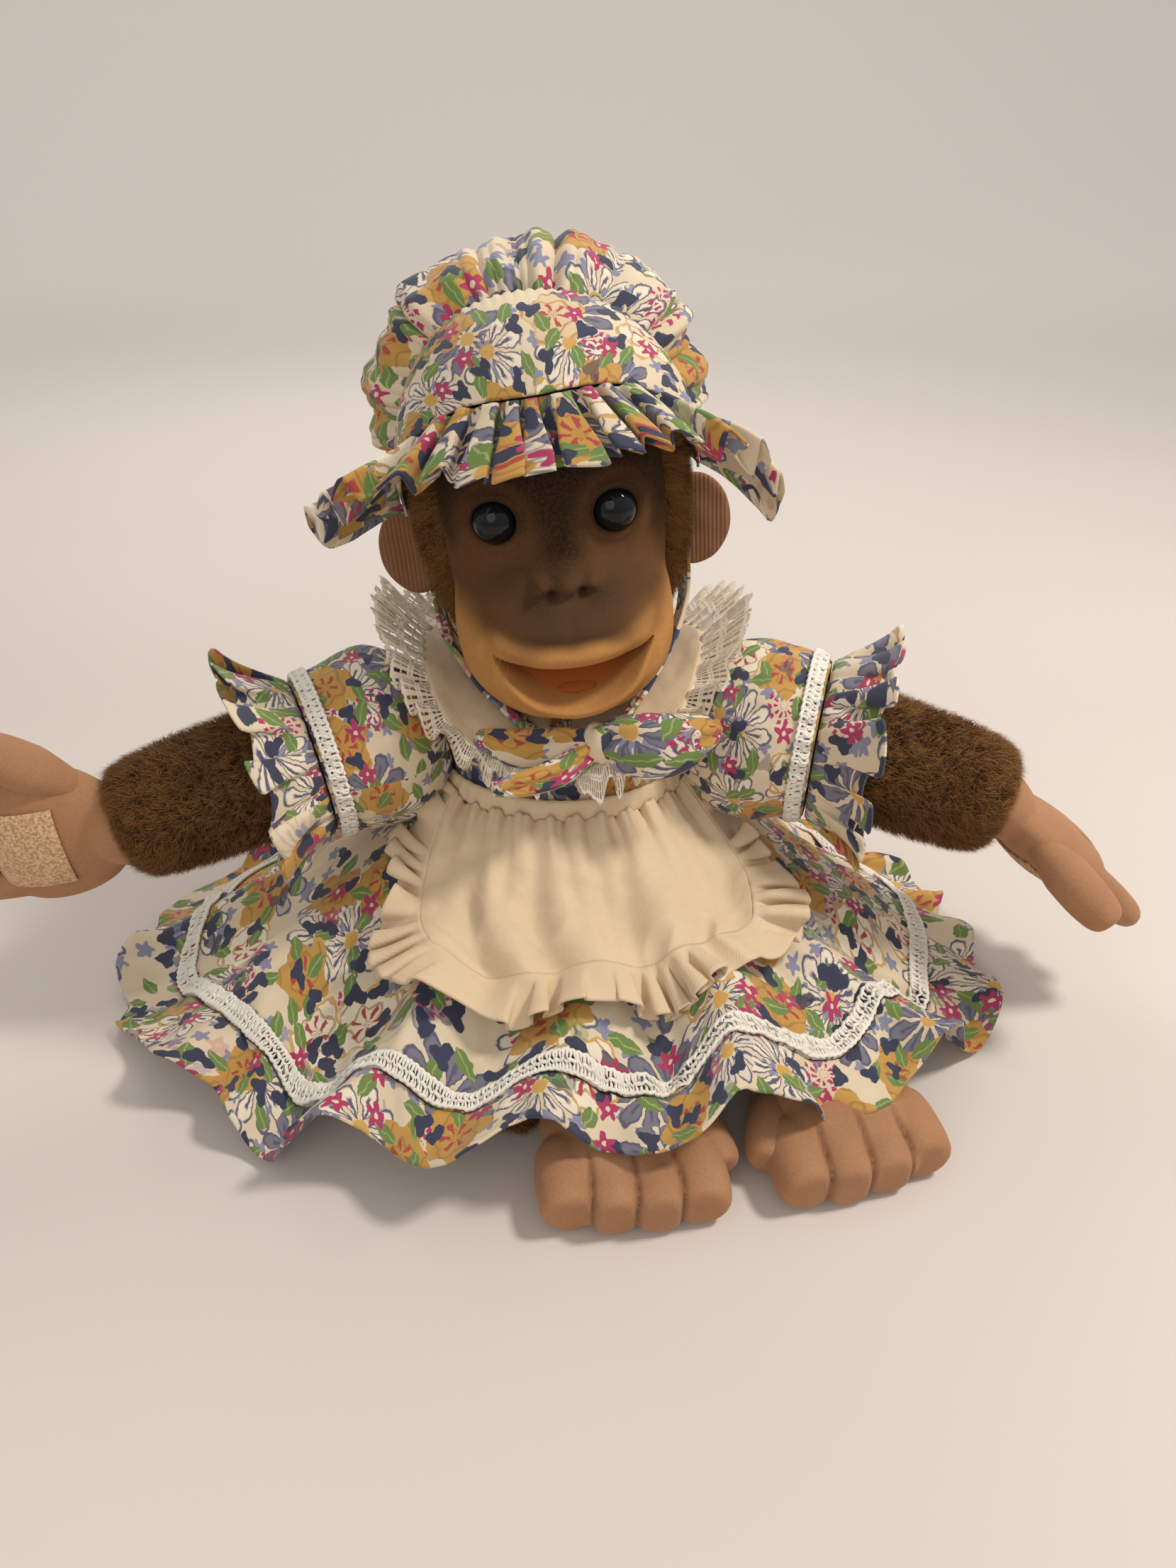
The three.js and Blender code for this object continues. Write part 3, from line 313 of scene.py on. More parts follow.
def floral_cotton():
    """Cream cotton, closely printed with roses, line daisies, leaves and small scattered flowers."""
    tints = bpy.context.scene.puppet_colours
    ground = (*tints.ground, 1)
    rose_colour = (*tints.rose, 1)
    cloth = Finish("floral_cotton", Roughness=0.88, Sheen_Weight=0.15, Sheen_Roughness=0.5)
    cloth_spot = cloth.cloth_place()
    flat = cloth.vector("MULTIPLY", cloth_spot, (PRINT_SCALE, PRINT_SCALE, 0.0))
    drawn = hand_drawn(cloth, flat, 3.0, 0.9)
    cloth.colour = cloth.blend(cloth.rough(flat, 40.0), ground, linear(214, 194, 164))

    away, angle, chance, other = spots(cloth, drawn, 8.5, 7)
    cluster = ((angle * 5).cosine() * 0.7 + 2.3 - away).over(0.0, 0.12) * chance.over(0.3)
    cloth.lay(cluster, linear(134, 136, 160))

    away, angle, chance, other = spots(cloth, drawn, 27.0, 2)
    petal_side = abs((angle * (9 / TURN)).maths("FRACT", angle * (9 / TURN)) - 0.5) * 2
    along = (away - 8.2) / 5.6
    oval = along * along + petal_side * petal_side * 1.5
    shown = chance.over(0.12)
    petal = oval.under(1.0, 0.08) * shown
    filled = other.over(0.62)
    cloth.lay(petal, cloth.blend(filled, linear(233, 219, 196), SLATE))
    line = petal * oval.over(0.66, 0.1)
    vein = petal * petal_side.under(0.2, 0.06) * away.under(9.5, 0.6)
    cloth.lay(line.maths("MAXIMUM", line, vein), linear(84, 84, 108))
    cloth.lay(away.under(2.5, 0.2) * shown, rose_colour)

    away, angle, chance, other = spots(cloth, drawn, 33.0, 6)
    ray = (angle * 11).cosine().over(0.1, 0.15) * (away * 2.4).sine().over(-0.6, 0.1)
    ray = ray * away.under(6.6, 0.2) * away.over(1.3, 0.2) * chance.over(0.5)
    cloth.lay(ray, MAGENTA)

    away, angle, chance, other = spots(cloth, drawn, 29.0, 1)
    edge = (angle * 5).cosine() * 1.5 + 9.8 - away
    rose = edge.over(0.0, 0.15) * chance.over(0.18)
    pale = other.over(0.72)
    petals = cloth.blend(cloth.rough(flat, 9.0), rose_colour, linear(180, 132, 56))
    petals = cloth.blend(pale, petals, linear(236, 222, 198))
    fold = (away * 1.25 + (angle * 5).cosine() * 1.2 + other * 9).sine().over(0.82, 0.1)
    petals = cloth.blend(fold * 0.7, petals, linear(160, 112, 46))
    rim = edge.under(0.9, 0.2) * pale
    petals = cloth.blend(rim, petals, rose_colour)
    stroke = (angle * 6 + other * 5).cosine().over(0.45, 0.12) * away.under(5.0, 0.3) * away.over(1.5, 0.2)
    petals = cloth.blend(stroke, petals, RUST)
    cloth.lay(rose, petals)

    away, angle, chance, other = spots(cloth, drawn, 10.5, 3, 1.0)
    across = abs(away * angle.sine())
    along = away * angle.cosine()
    leaf = (2.3 - along * along * 0.1 - across).over(0.0, 0.1) * chance.over(0.4)
    green = cloth.blend(across.under(0.22, 0.08), LEAF, linear(150, 168, 104))
    cloth.lay(leaf, green)

    away, angle, chance, other = spots(cloth, drawn, 11.5, 4, 1.0)
    edge = (angle * 3 + other * 6).cosine() * 0.9 + (angle * 2).cosine() * 0.7 + 3.0 - away
    cloth.lay(edge.over(0.0, 0.12) * chance.over(0.38), NAVY)

    away, angle, chance, other = spots(cloth, drawn, 13.0, 5)
    flower = ((angle * 5).cosine() + 2.9 - away).over(0.0, 0.12) * chance.over(0.72)
    cloth.lay(flower, MAGENTA)
    cloth.lay(flower * away.under(0.75, 0.1), ground)

    threads = weave(cloth, cloth_spot, 0.8)
    cloth.lay(threads * 0.09 + 0.09, linear(120, 100, 80))
    crumple = cloth.rough(flat, 7.0, 3.0, 2.0)
    cloth.bump(threads * 0.08 + crumple, 0.6, 0.6)
    return cloth.done()


def cream_cotton():
    """Warm cream cotton with a fine twill and soft creases."""
    cloth = Finish("cream_cotton", Roughness=0.88, Sheen_Weight=0.15, Sheen_Roughness=0.5)
    flat = cloth.cloth_place()
    x, y, _ = cloth.parts(flat)
    twill = ((x + y * 0.6) * (TURN / 0.9)).sine()
    slub = cloth.rough(cloth.vector("MULTIPLY", flat, (0.25, 2.0, 1.0)), 2.0, 2.0)
    cloth.colour = cloth.blend(cloth.rough(flat, 22.0), linear(222, 199, 166), linear(208, 182, 147))
    cloth.lay(slub.over(0.5, 0.2) * 0.12, linear(190, 160, 120))
    cloth.bump(twill * 0.06 + slub * 0.12 + cloth.rough(flat, 6.0, 3.0, 1.0), 0.7, 0.6)
    return cloth.done()


def cream_lace():
    """Machine lace: short bars between solid rails, with a scalloped edge."""
    lace = Finish("cream_lace", Roughness=0.7, Sheen_Weight=0.2)
    x, y, _ = lace.parts(lace.cloth_place())
    swing = (x * (TURN / 7)).sine()
    bars = (x * (TURN / 1.5) + swing).sine().over(-0.3, 0.25)
    rails = y * 0
    for middle, half in ((0.8, 1.1), (8.4, 0.75), (10.0, 0.55), (18.0, 0.9)):
        rail = abs(y + swing * 0.5 - middle).under(half, 0.2)
        rails = rails.maths("MAXIMUM", rails, rail)
    ties = abs(y - 4.6).under(0.3, 0.12) + abs(y - 14.0).under(0.3, 0.12)
    thread = bars.maths("MAXIMUM", bars, rails.maths("MAXIMUM", rails, ties))
    edge = (abs((x * (math.pi / 7)).sine()) * 1.5 + 18.2 - y).over(0.0, 0.2)
    lace.paint("Alpha", thread * edge)
    lace.colour = lace.blend(rails, linear(236, 222, 200), linear(244, 234, 216))
    lace.bump(thread, 0.3, 0.6)
    return lace.done()


def white_gimp():
    """Glossy white cord."""
    gimp = Finish("white_gimp", Roughness=0.42, Sheen_Weight=0.2)
    place = gimp.object_place()
    gimp.colour = gimp.blend(gimp.rough(place, 0.006), linear(240, 234, 222), linear(222, 214, 200))
    gimp.bump(gimp.rough(place, 0.0006, 2.0), 0.12)
    return gimp.done()


def tan_velour(name="tan_velour", ribbed_and_shaded=False):
    """Short-napped tan cloth. On the ears: fine ribs, and painted shade that darkens the whole ear.
    Elsewhere: painted shade in the stitched grooves.
    """
    nap = Finish(name, Roughness=0.92, Sheen_Weight=0.2, Sheen_Roughness=0.4)
    nap.shader.inputs["Sheen Tint"].default_value = linear(240, 203, 166)
    place = nap.object_place()
    fine = nap.rough(place, 0.0007, 3.0)
    wide = nap.rough(place, 0.018, 3.0, 4.0)
    nap.colour = nap.blend(wide, linear(184, 136, 98), linear(150, 106, 74))
    nap.lay(fine.over(0.5, 0.12) * 0.35, linear(146, 98, 64))
    height = fine * 0.3
    if ribbed_and_shaded:
        x, _, z = nap.parts(place)
        ribs = (x * (TURN / 0.0016) + z * 260).sine()
        # Painted shade: the whole ear is darkened as if shaded by the bonnet brim and the head, with darker
        # rib lines on top.
        nap.lay(ribs.over(0.0, 0.6) * 0.25 + 0.35, linear(104, 64, 42))
        height = height + ribs * 0.35
    else:
        # Painted shade in the stitched grooves between the fingers and between the toes.
        groove_shade = nap.attribute("groove")
        nap.lay(groove_shade, linear(84, 50, 28))
    nap.bump(height, 0.35, 0.7)
    return nap.done()


def brown_pile():
    """Each strand of the pile: nearly black brown at its root, golden at its tip."""
    fur = Finish("brown_pile", Roughness=0.7, Specular_IOR_Level=0.25)
    tip = fur.attribute("tip")
    shade = fur.attribute("shade")
    fur.colour = fur.blend(tip.over(0.3, 0.3), linear(60, 35, 16), linear(126, 83, 41))
    fur.lay(tip.over(0.8, 0.2) * (shade * 0.8 + 0.2), linear(196, 150, 90))
    fur.lay(shade.under(0.3, 0.2) * 0.5, linear(84, 53, 27))
    return fur.done()


def plush_backing():
    """The cloth that the pile grows from, and short dark pile."""
    cloth = Finish("plush_backing", Roughness=0.95, Sheen_Weight=0.3)
    place = cloth.object_place()
    fine = cloth.rough(place, 0.0012, 3.0)
    cloth.colour = cloth.blend(fine, linear(74, 46, 24), linear(112, 74, 40))
    cloth.bump(fine, 1.2, 0.8)
    return cloth.done()


def dark_lining():
    """Dark lining cloth inside the glove and the pockets."""
    cloth = Finish("dark_lining", Roughness=0.9, Sheen_Weight=0.1)
    place = cloth.object_place()
    fine = cloth.rough(place, 0.0012, 2.0)
    cloth.colour = cloth.blend(fine, linear(52, 48, 46), linear(74, 70, 66))
    cloth.bump(fine + cloth.rough(place, 0.012, 2.0) * 2, 0.5, 0.6)
    return cloth.done()


def hook_tape():
    """The hook side of a touch fastening."""
    tape = Finish("hook_tape", Roughness=0.6)
    place = tape.object_place()
    hooks = tape.rough(place, 0.0011, 1.0)
    tape.colour = tape.blend(hooks.over(0.5, 0.1), linear(176, 134, 96), linear(212, 176, 136))
    tape.bump(hooks, 0.8, 0.9)
    return tape.done()


def glossy_eye():
    """Black toy eye with a dark grey iris under its clear front."""
    eye = Finish("glossy_eye", Roughness=0.05, Specular_IOR_Level=0.3)
    iris = eye.attribute("iris")
    place = eye.object_place()
    streaks = eye.rough(place, 0.0016, 2.0)
    ring = iris.over(0.26, 0.1) * iris.under(0.6, 0.1)
    grey = eye.blend(streaks, linear(12, 14, 16), linear(26, 29, 33))
    eye.colour = eye.blend(ring, linear(9, 9, 11), grey)
    return eye.done()


def flocked_face():
    """Golden-tan flock with a soft dark airbrush over the brow, the nose and the muzzle. The dark layer
    also holds painted shade under the nose and painted shadow of the brim on the brow, and the nose wings
    carry a painted highlight.
    """
    face = Finish(
        "flocked_face", Roughness=0.9, Specular_IOR_Level=0.12, Sheen_Weight=0.05, Sheen_Roughness=0.45
    )
    face.shader.inputs["Sheen Tint"].default_value = linear(255, 214, 150)
    place = face.object_place()
    fine = face.rough(place, 0.0009, 3.0)
    wide = face.rough(place, 0.012, 2.0, 3.0)
    gold = face.blend(wide, linear(188, 136, 79), linear(166, 115, 63))
    brown = face.blend(wide, linear(104, 69, 40), linear(80, 51, 28))
    dark = face.blend(fine, linear(34, 23, 17), linear(21, 15, 12))
    grey = face.blend(fine, linear(86, 62, 42), linear(61, 43, 29))
    face.colour = face.blend(face.attribute("brown"), gold, brown)
    face.lay(face.attribute("grey"), grey)
    face.lay(face.attribute("dark"), dark)
    face.lay(face.attribute("inside"), linear(158, 84, 38))
    face.lay(fine.over(0.52, 0.1) * 0.16, linear(120, 84, 50))
    face.bump(fine, 0.22, 0.5)
    return face.done()


# The ears' velour: fine ribs, with painted shade over the whole ear.
def shaded_ribbed_velour():
    return tan_velour("shaded_ribbed_velour", ribbed_and_shaded=True)


MATERIALS = {
    make.__name__: make for make in (
        floral_cotton, cream_cotton, cream_lace, white_gimp, tan_velour, shaded_ribbed_velour, brown_pile,
        plush_backing, dark_lining, hook_tape, glossy_eye, flocked_face
    )
}


def finish(name):
    """The material of a name, made the first time that it is asked for."""
    return bpy.data.materials.get(name) or MATERIALS[name]()


# Making pieces


def finished(name, shape, material, axes=None):
    """A piece from a shape in millimetres, which may be drawn in axes of its own."""
    if axes:
        bmesh.ops.transform(shape, matrix=axes, verts=shape.verts)
    bmesh.ops.scale(shape, vec=(MM, MM, MM), verts=shape.verts)
    mesh = bpy.data.meshes.new(name)
    shape.to_mesh(mesh)
    shape.free()
    mesh.materials.append(finish(material))
    mesh.shade_smooth()
    piece = bpy.data.objects.new(name, mesh)
    bpy.context.scene.collection.objects.link(piece)
    return piece


def add_grid(shape, place, across, along, flat=None, closed=False):
    """Adds a surface place(u, v) to a shape. flat(u, v) is the place on the flat cloth."""
    made = bmesh.ops.create_grid(shape, x_segments=across, y_segments=along, size=0.5)["verts"]
    shares = {vert: (vert.co.x + 0.5, vert.co.y + 0.5) for vert in made}
    if flat:
        layer = shape.loops.layers.uv.get("cloth") or shape.loops.layers.uv.new("cloth")
        for face in {face for vert in made for face in vert.link_faces}:
            for loop in face.loops:
                x, y = flat(*shares[loop.vert])
                loop[layer].uv = (x * MM, y * MM)
    for vert, (u, v) in shares.items():
        vert.co = place(u, v)
    if closed:
        bmesh.ops.remove_doubles(shape, verts=made, dist=0.02)
    return made


def laid_out(width, height, x=0, y=0):
    """Where a sheet lies on the flat cloth, in millimetres."""
    return lambda u, v: (u * width + x, v * height + y)


def sheet_piece(name, place, across, along, flat, material="floral_cotton", thick=0.9, closed=False):
    """A sheet of cloth with its thickness."""
    shape = bmesh.new()
    add_grid(shape, place, across, along, flat, closed)
    piece = finished(name, shape, material)
    wall = piece.modifiers.new("thickness", "SOLIDIFY")
    wall.thickness = thick * MM
    wall.offset = 0
    return piece


def worn(piece, body, slot, *nodes, padded=None):
    """Parents a piece to the empty of the body that carries it and hides the nodes of the frame that it
    stands for. Its slot is not used.
    """
    if body:
        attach(piece, body)
    if nodes:
        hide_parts(*nodes)


def sewn(piece, body, slot, node):
    """A worn sheet, which hides the node of the frame that it stands for, if there is one."""
    worn(piece, body, slot, *([node] if node else []))


def add_tube(shape, path, radius, along, around=6):
    """Adds a round cord along path(share), closed at both ends."""
    up = Vector((0.03, 0.05, 1))

    def place(u, v):
        ahead = (path(min(u + 0.002, 1)) - path(max(u - 0.002, 0))).normalized()
        side = ahead.cross(up).normalized()
        turn = TURN * v
        end = 0.02 if u in (0, 1) else 1
        return path(u) + (side * math.cos(turn) + side.cross(ahead) * math.sin(turn)) * radius * end

    return add_grid(shape, place, along, around, closed=True)


def add_ball(shape, centre, radii, fine=24):
    """Adds an egg shape with its own half sizes."""
    matrix = Matrix.Translation(Vector(centre)) @ Matrix.Diagonal((*radii, 1))
    bmesh.ops.create_uvsphere(shape, u_segments=fine, v_segments=fine // 2, radius=1, matrix=matrix)


def applied(piece):
    """The piece with its modifiers made part of its mesh."""
    ready = piece.evaluated_get(bpy.context.evaluated_depsgraph_get())
    mesh = bpy.data.meshes.new_from_object(ready)
    piece.modifiers.clear()
    piece.data = mesh
    mesh.shade_smooth()
    return piece


def fused(piece, voxel=1.2, smooth=6):
    """Makes overlapping swellings one soft skin."""
    remesh = piece.modifiers.new("skin", "REMESH")
    remesh.mode = "VOXEL"
    remesh.voxel_size = voxel * MM
    soften = piece.modifiers.new("soften", "SMOOTH")
    soften.factor = 0.5
    soften.iterations = smooth
    return applied(piece)


def soft_copy(node, material, voxel=2.0, smooth=5, grow=0.0):
    """A rounded copy of a stuffed piece of the frame."""
    shape = bmesh.new()
    shape.from_mesh(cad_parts[node].data)
    bmesh.ops.remove_doubles(shape, verts=shape.verts, dist=1e-6)
    bmesh.ops.scale(shape, vec=(1 / MM, 1 / MM, 1 / MM), verts=shape.verts)
    if grow:
        shape.normal_update()
        for vert in shape.verts:
            vert.co += vert.normal * grow
    piece = finished(f"{node}_soft", shape, material)
    fused(piece, voxel, smooth)
    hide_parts(node)
    return piece


def field(piece, name, values):
    """A number for each point of a piece, for its material to read."""
    layer = piece.data.attributes.new(name, "FLOAT", "POINT")
    layer.data.foreach_set("value", np.asarray(values, np.float32))


def points_of(piece):
    """The places of a piece's points, in millimetres."""
    places = np.empty(len(piece.data.vertices) * 3)
    piece.data.vertices.foreach_get("co", places)
    return places.reshape(-1, 3) / MM


def move_points(piece, places):
    piece.data.vertices.foreach_set("co", (places * MM).ravel())
    piece.data.update()


# Pile


LOCK_SEED = 1


def pile(name, carrier, place, strands, lean, seed, keep, share=1.0, fan=None, facing=-1):
    """Plush pile on a surface place(u, v): strands that lean and gather into locks, and that may fan out
    from a point. Their number is a power of two, because one strand is doubled until there are enough."""
    sizes = bpy.context.scene.puppet_sizes
    length = sizes.pile_length / MM * share
    width = sizes.pile_width / MM
    flat = 0.5
    shape = bmesh.new()
    bmesh.ops.create_cone(shape, cap_ends=False, segments=3, radius1=0.5, radius2=0, depth=1)
    rising = [edge for edge in shape.edges if abs(edge.verts[0].co.z - edge.verts[1].co.z) > 0.5]
    bmesh.ops.subdivide_edges(shape, edges=rising, cuts=1)
    made = 1
    while made < strands:
        copy = bmesh.ops.duplicate(shape, geom=shape.verts[:] + shape.edges[:] + shape.faces[:])["geom"]
        fresh = [part for part in copy if isinstance(part, bmesh.types.BMVert)]
        bmesh.ops.translate(shape, vec=(2 * made, 0, 0), verts=fresh)
        made *= 2
    piece = finished(name, shape, "brown_pile")
    places = points_of(piece)
    strand = np.clip(np.rint(places[:, 0] / 2), 0, strands - 1).astype(int)
    rise = np.clip(places[:, 2] + 0.5, 0, 1)
    sideways = places[:, 0] - 2 * strand
    forth = places[:, 1]

    chance = np.random.default_rng(seed)
    roots, normals = [], []
    while len(roots) < strands:
        u, v = chance.random(2)
        root = place(u, v)
        if keep(root):
            roots.append(root)
            normals.append(normal_of(place, u, v) * facing)
    noise.seed_set(LOCK_SEED)
    lock = [noise.noise_vector(root / 3.2) * 1.1 + noise.noise_vector(root / 14) * 0.7 for root in roots]
    roots, normals, lock = (np.array(rows) for rows in (roots, normals, lock))
    own = chance.random((strands, 6))
    lay = np.array(lean, float) + lock + (own[:, :3] - 0.5) * 1.5
    if fan is not None:
        apart = roots - np.array(fan)
        lay += apart / np.linalg.norm(apart, axis=1)[:, None]
    lay -= normals * np.sum(lay * normals, axis=1)[:, None]
    long = length * (0.7 + 0.6 * own[:, 3])
    across = np.cross(normals, lay)
    across /= np.linalg.norm(across, axis=1)[:, None] + 1e-9
    thin = width * (0.6 + 0.8 * own[:, 4]) * 0.5

    stand = (rise * (1 - flat * rise))[:, None] * normals[strand] * long[strand][:, None]
    swept = (rise**1.6 * flat)[:, None] * lay[strand] * long[strand][:, None]
    body = (sideways * thin[strand])[:, None] * across[strand]
    body += (forth * thin[strand])[:, None] * np.cross(across, normals)[strand]
    move_points(piece, roots[strand] + stand + swept + body - normals[strand] * 0.4)
    field(piece, "tip", rise)
    field(piece, "shade", own[strand, 5])
    worn(piece, carrier, "plush")
    return piece


def add_limb(shape, path, radius_at, wide=(0, 0, 1), flat=1.0, blunt=0.5, around=48, along=40):
    """Adds a stuffed tube along a path, with round ends. Its radius follows a profile."""
    place = limb_surface(path, radius_at, wide, flat, blunt)
    return add_grid(shape, place, around, along, closed=True)


def limb_surface(path, radius_at, wide=(0, 0, 1), flat=1.0, blunt=0.5):
    """The surface of a stuffed tube with round ends, flattened at right angles to its wide side."""
    upward = Vector(wide).normalized()

    def place(u, v):
        v = clamp(v)
        share = (1 - math.cos(math.pi * v)) / 2
        ring = math.sin(math.pi * v) ** blunt if 0 < v < 1 else 0
        ahead = (path(min(share + 0.004, 1)) - path(max(share - 0.004, 0))).normalized()
        side = ahead.cross(upward).normalized()
        up = side.cross(ahead)
        radius = radius_at(share) * ring
        turn = -TURN * u
        return path(share) + up * (math.cos(turn) * radius) + side * (math.sin(turn) * radius * flat)

    return place


# The seated shapes that the clothes lie on

TORSO_X = 2
TORSO_Y = -2
TORSO_DEPTH = 0.95
TORSO_PROFILE = ((0, 46), (9.1, 55), (26, 58), (60.1, 52.6), (88, 49), (104, 45), (117, 37), (124, 25))
WAIST_HEIGHT = 88
WAIST_REACH = 49
FRONT_REACH = 147
HEM_REACH = smooth_path(
    [(-60, 180, 0), (0, 147, 0), (60, 180, 0), (90, 172, 0), (130, 118, 0), (180, 102, 0), (230, 118, 0)]
)
HEM_TABLE = [HEM_REACH(k / 400) for k in range(401)]
HEM_ANGLES = [spot.x for spot in HEM_TABLE]
BRAID_SHARE = 0.82
BACK_GAP = 22
SKIRT_FOLDS = 13


def torso_radius(height):
    """The torso's half width at a height."""
    for (low, near), (high, far) in zip(TORSO_PROFILE, TORSO_PROFILE[1:]):
        if height <= high:
            return mix(near, far, max(0.0, height - low) / (high - low))
    return TORSO_PROFILE[-1][1]


def hem_reach(angle):
    """How far out the hem runs, by degrees from the front; both sides are alike."""
    wanted = abs(angle)
    at = clamp(bisect_left(HEM_ANGLES, wanted) - 1, 0, len(HEM_TABLE) - 2)
    first, second = HEM_TABLE[at], HEM_TABLE[at + 1]
    return mix(first.y, second.y, (wanted - first.x) / (second.x - first.x))


def skirt_angle(u):
    """Degrees from the front, from one edge of the open back to the other."""
    return mix(BACK_GAP - 180, 180 - BACK_GAP, u)


def skirt_point(angle, share, smooth=0.0, gather=1.0):
    """A place on the skirt, by degrees from the front and share of the way from the waist to the hem."""
    turn = math.radians(angle)
    lap = math.exp(-(((angle + 8) / 38) ** 2))
    spread = 12 * lap + 9 * math.exp(-(((angle + 85) / 35) ** 2))
    reach = mix(torso_radius(WAIST_HEIGHT) + 1.5, hem_reach(angle) + spread, share)
    front = math.exp(-(((angle - 11) / 50) ** 4))
    hem = 5.5 + 29 * front - 5 * lap
    height = hem + (WAIST_HEIGHT - hem) * max(0.0, 1 - share) ** 1.45
    depth = min(1.0, max(0.0, share) * 1.6)
    drift = wander(turn * 2.2, share * 1.2, 6.0)
    folded = math.cos(turn * SKIRT_FOLDS + 0.8 * math.sin(2 * turn) + 2.4 * drift)
    fold = mix(folded * (1 + 0.7 * wander(turn * 3, 0.5, 9.0)), 1, smooth) * 8.5 * depth
    ripple = max(0.0, share - BRAID_SHARE) / (1 - BRAID_SHARE)
    frill = math.cos(turn * 27 + 3.4 * wander(turn * 3, 0.4)) * 5.0 * (1 + 0.8 * wander(turn * 5, 0.9, 2.0))
    frill += math.cos(turn * 14 + 1 + 2 * drift) * 4.0
    pleats = math.cos(turn * 52 + 2 * wander(turn * 6, 1.7)) * 1.3 * math.exp(-share * 6)
    crush = (0.35 - abs(wander(turn * 7 + 2 * drift, share * 4, 3.0))) * 6.5
    crush += (0.3 - abs(wander(turn * 17, share * 8, 5.0))) * 2.6
    lift = fold + frill * ripple + (pleats + crush * depth) * gather
    lift = max(lift, 1.0 - hem)
    out = reach + (2.5 - 0.55 * fold) * share + frill * ripple * 0.5
    x = TORSO_X + math.sin(turn) * out
    y = TORSO_Y - math.cos(turn) * TORSO_DEPTH * out
    return Vector((x, y, height + lift * 0.9 * max(depth, 0.3)))


def around_skirt(u, share):
    """A place on the skirt, by shares of the way round it and of the way down."""
    return skirt_point(skirt_angle(u), share)


def skirt_flat(angle, share):
    """The same place on the flat cloth, as on a flared cut."""
    turn = math.radians(angle) * 0.85
    reach = mix(WAIST_REACH, hem_reach(angle), share) / 0.85
    return math.sin(turn) * reach, -math.cos(turn) * reach


def bodice_ring(angle, height, out=3.0):
    """A place round the torso, a little way out from it."""
    turn = math.radians(angle)
    reach = torso_radius(height) + out
    forward = math.cos(turn) * reach * TORSO_DEPTH
    return Vector((TORSO_X + math.sin(turn) * reach, TORSO_Y - forward, height))


# Arms


ARM_POSE = {
    "left": {"upper": (25, 6), "fore": (20, 12), "hand": (8, 3), "palm_turn": 0},
    "right": {"upper": (17, 2), "fore": (14, 14), "hand": (-4, 38), "palm_turn": 78},
}
UPPER_ARM = 57
FOREARM = 66
HAND = 82
HAND_WIDTH = 62


def aim(side, yaw_drop):
    """The direction of a limb, by degrees forward and degrees down."""
    yaw, drop = (math.radians(value) for value in yaw_drop)
    level = math.cos(drop)
    return Vector((SIDES[side] * math.cos(yaw) * level, -math.sin(yaw) * level, -math.sin(drop)))


def arm_points(side):
    """The shoulder, the elbow and the wrist."""
    pose = ARM_POSE[side]
    shoulder = Vector((TORSO_X + SIDES[side] * 48, -8, 110))
    elbow = shoulder + aim(side, pose["upper"]) * UPPER_ARM
    wrist = elbow + aim(side, pose["fore"]) * FOREARM
    return shoulder, elbow, wrist


def ring_point(side, turn, out, radius):
    """A place round the upper arm: its turn in radians, its way out from the shoulder and its radius."""
    shoulder, _, _ = arm_points(side)
    axis = aim(side, ARM_POSE[side]["upper"])
    across = Vector((0, 0, 1)).cross(axis).normalized()
    up = axis.cross(across)
    return shoulder + axis * out + across * (math.cos(turn) * radius) + up * (math.sin(turn) * radius)


def hand_axes(side):
    """Axes at the wrist: along the fingers, to the thumb, and through the palm, which is at -1 or 1."""
    pose = ARM_POSE[side]
    reach_out = aim(side, pose["hand"])
    turn = math.radians(pose["palm_turn"])
    thumbward = Vector((0, -math.sin(turn), math.cos(turn)))
    through = reach_out.cross(thumbward).normalized()
    thumbward = through.cross(reach_out)
    _, _, wrist = arm_points(side)
    axes = Matrix((reach_out, thumbward, through)).transposed().to_4x4()
    return Matrix.Translation(wrist) @ axes


def gimp_braid(name, body, node, place, loops, pitch_share=0.3, cord=0.75):
    """Looped white braid. place(u, w) is its route, with w from -1 to 1 across it."""
    shape = bmesh.new()
    for start in (0, math.pi):

        def path(share, start=start):
            phase = TURN * loops * share + start
            back = math.sin(2 * phase) * pitch_share / loops
            return place(clamp(share + back), math.cos(phase)) + Vector((0, 0, 0.25 * math.sin(phase)))

        add_tube(shape, lru_cache(maxsize=None)(path), cord, loops * 10)
    centre = lru_cache(maxsize=None)(lambda share: place(share, 0.22 * math.sin(TURN * loops * 2 * share)))
    add_tube(shape, centre, cord * 1.15, loops * 5)
    piece = finished(name, shape, "white_gimp")
    worn(piece, body, "gimp", node)
    return piece


class PUPPET_OT_skirt(bpy.types.Operator):
    """The gathered skirt, its white braid and its frilled hem"""

    bl_idname = "puppet.skirt"
    bl_label = "Skirt"

    def execute(self, context):
        skirt = sheet_piece(
            "skirt", lambda u, v: around_skirt(u, v * BRAID_SHARE), 380, 40,
            lambda u, v: skirt_flat(skirt_angle(u), v * BRAID_SHARE),
        )
        flounce = sheet_piece(
            "hem_frill", lambda u, v: around_skirt(u, mix(BRAID_SHARE + 0.004, 1, v)), 560, 12,
            lambda u, v: skirt_flat(skirt_angle(u) * 1.25, mix(BRAID_SHARE, 1, v)),
        )

        def route(u, w):
            share = BRAID_SHARE - 0.03 + w * 0.026
            return around_skirt(u, share) - normal_of(around_skirt, u, share) * 1.6

        braid = gimp_braid("skirt_gimp", "root", "skirt_braid", route, 168)
        sewn(skirt, "root", "print", "dress_skirt")
        sewn(flounce, "root", "print", "hem_flounce")
        return {"FINISHED"}


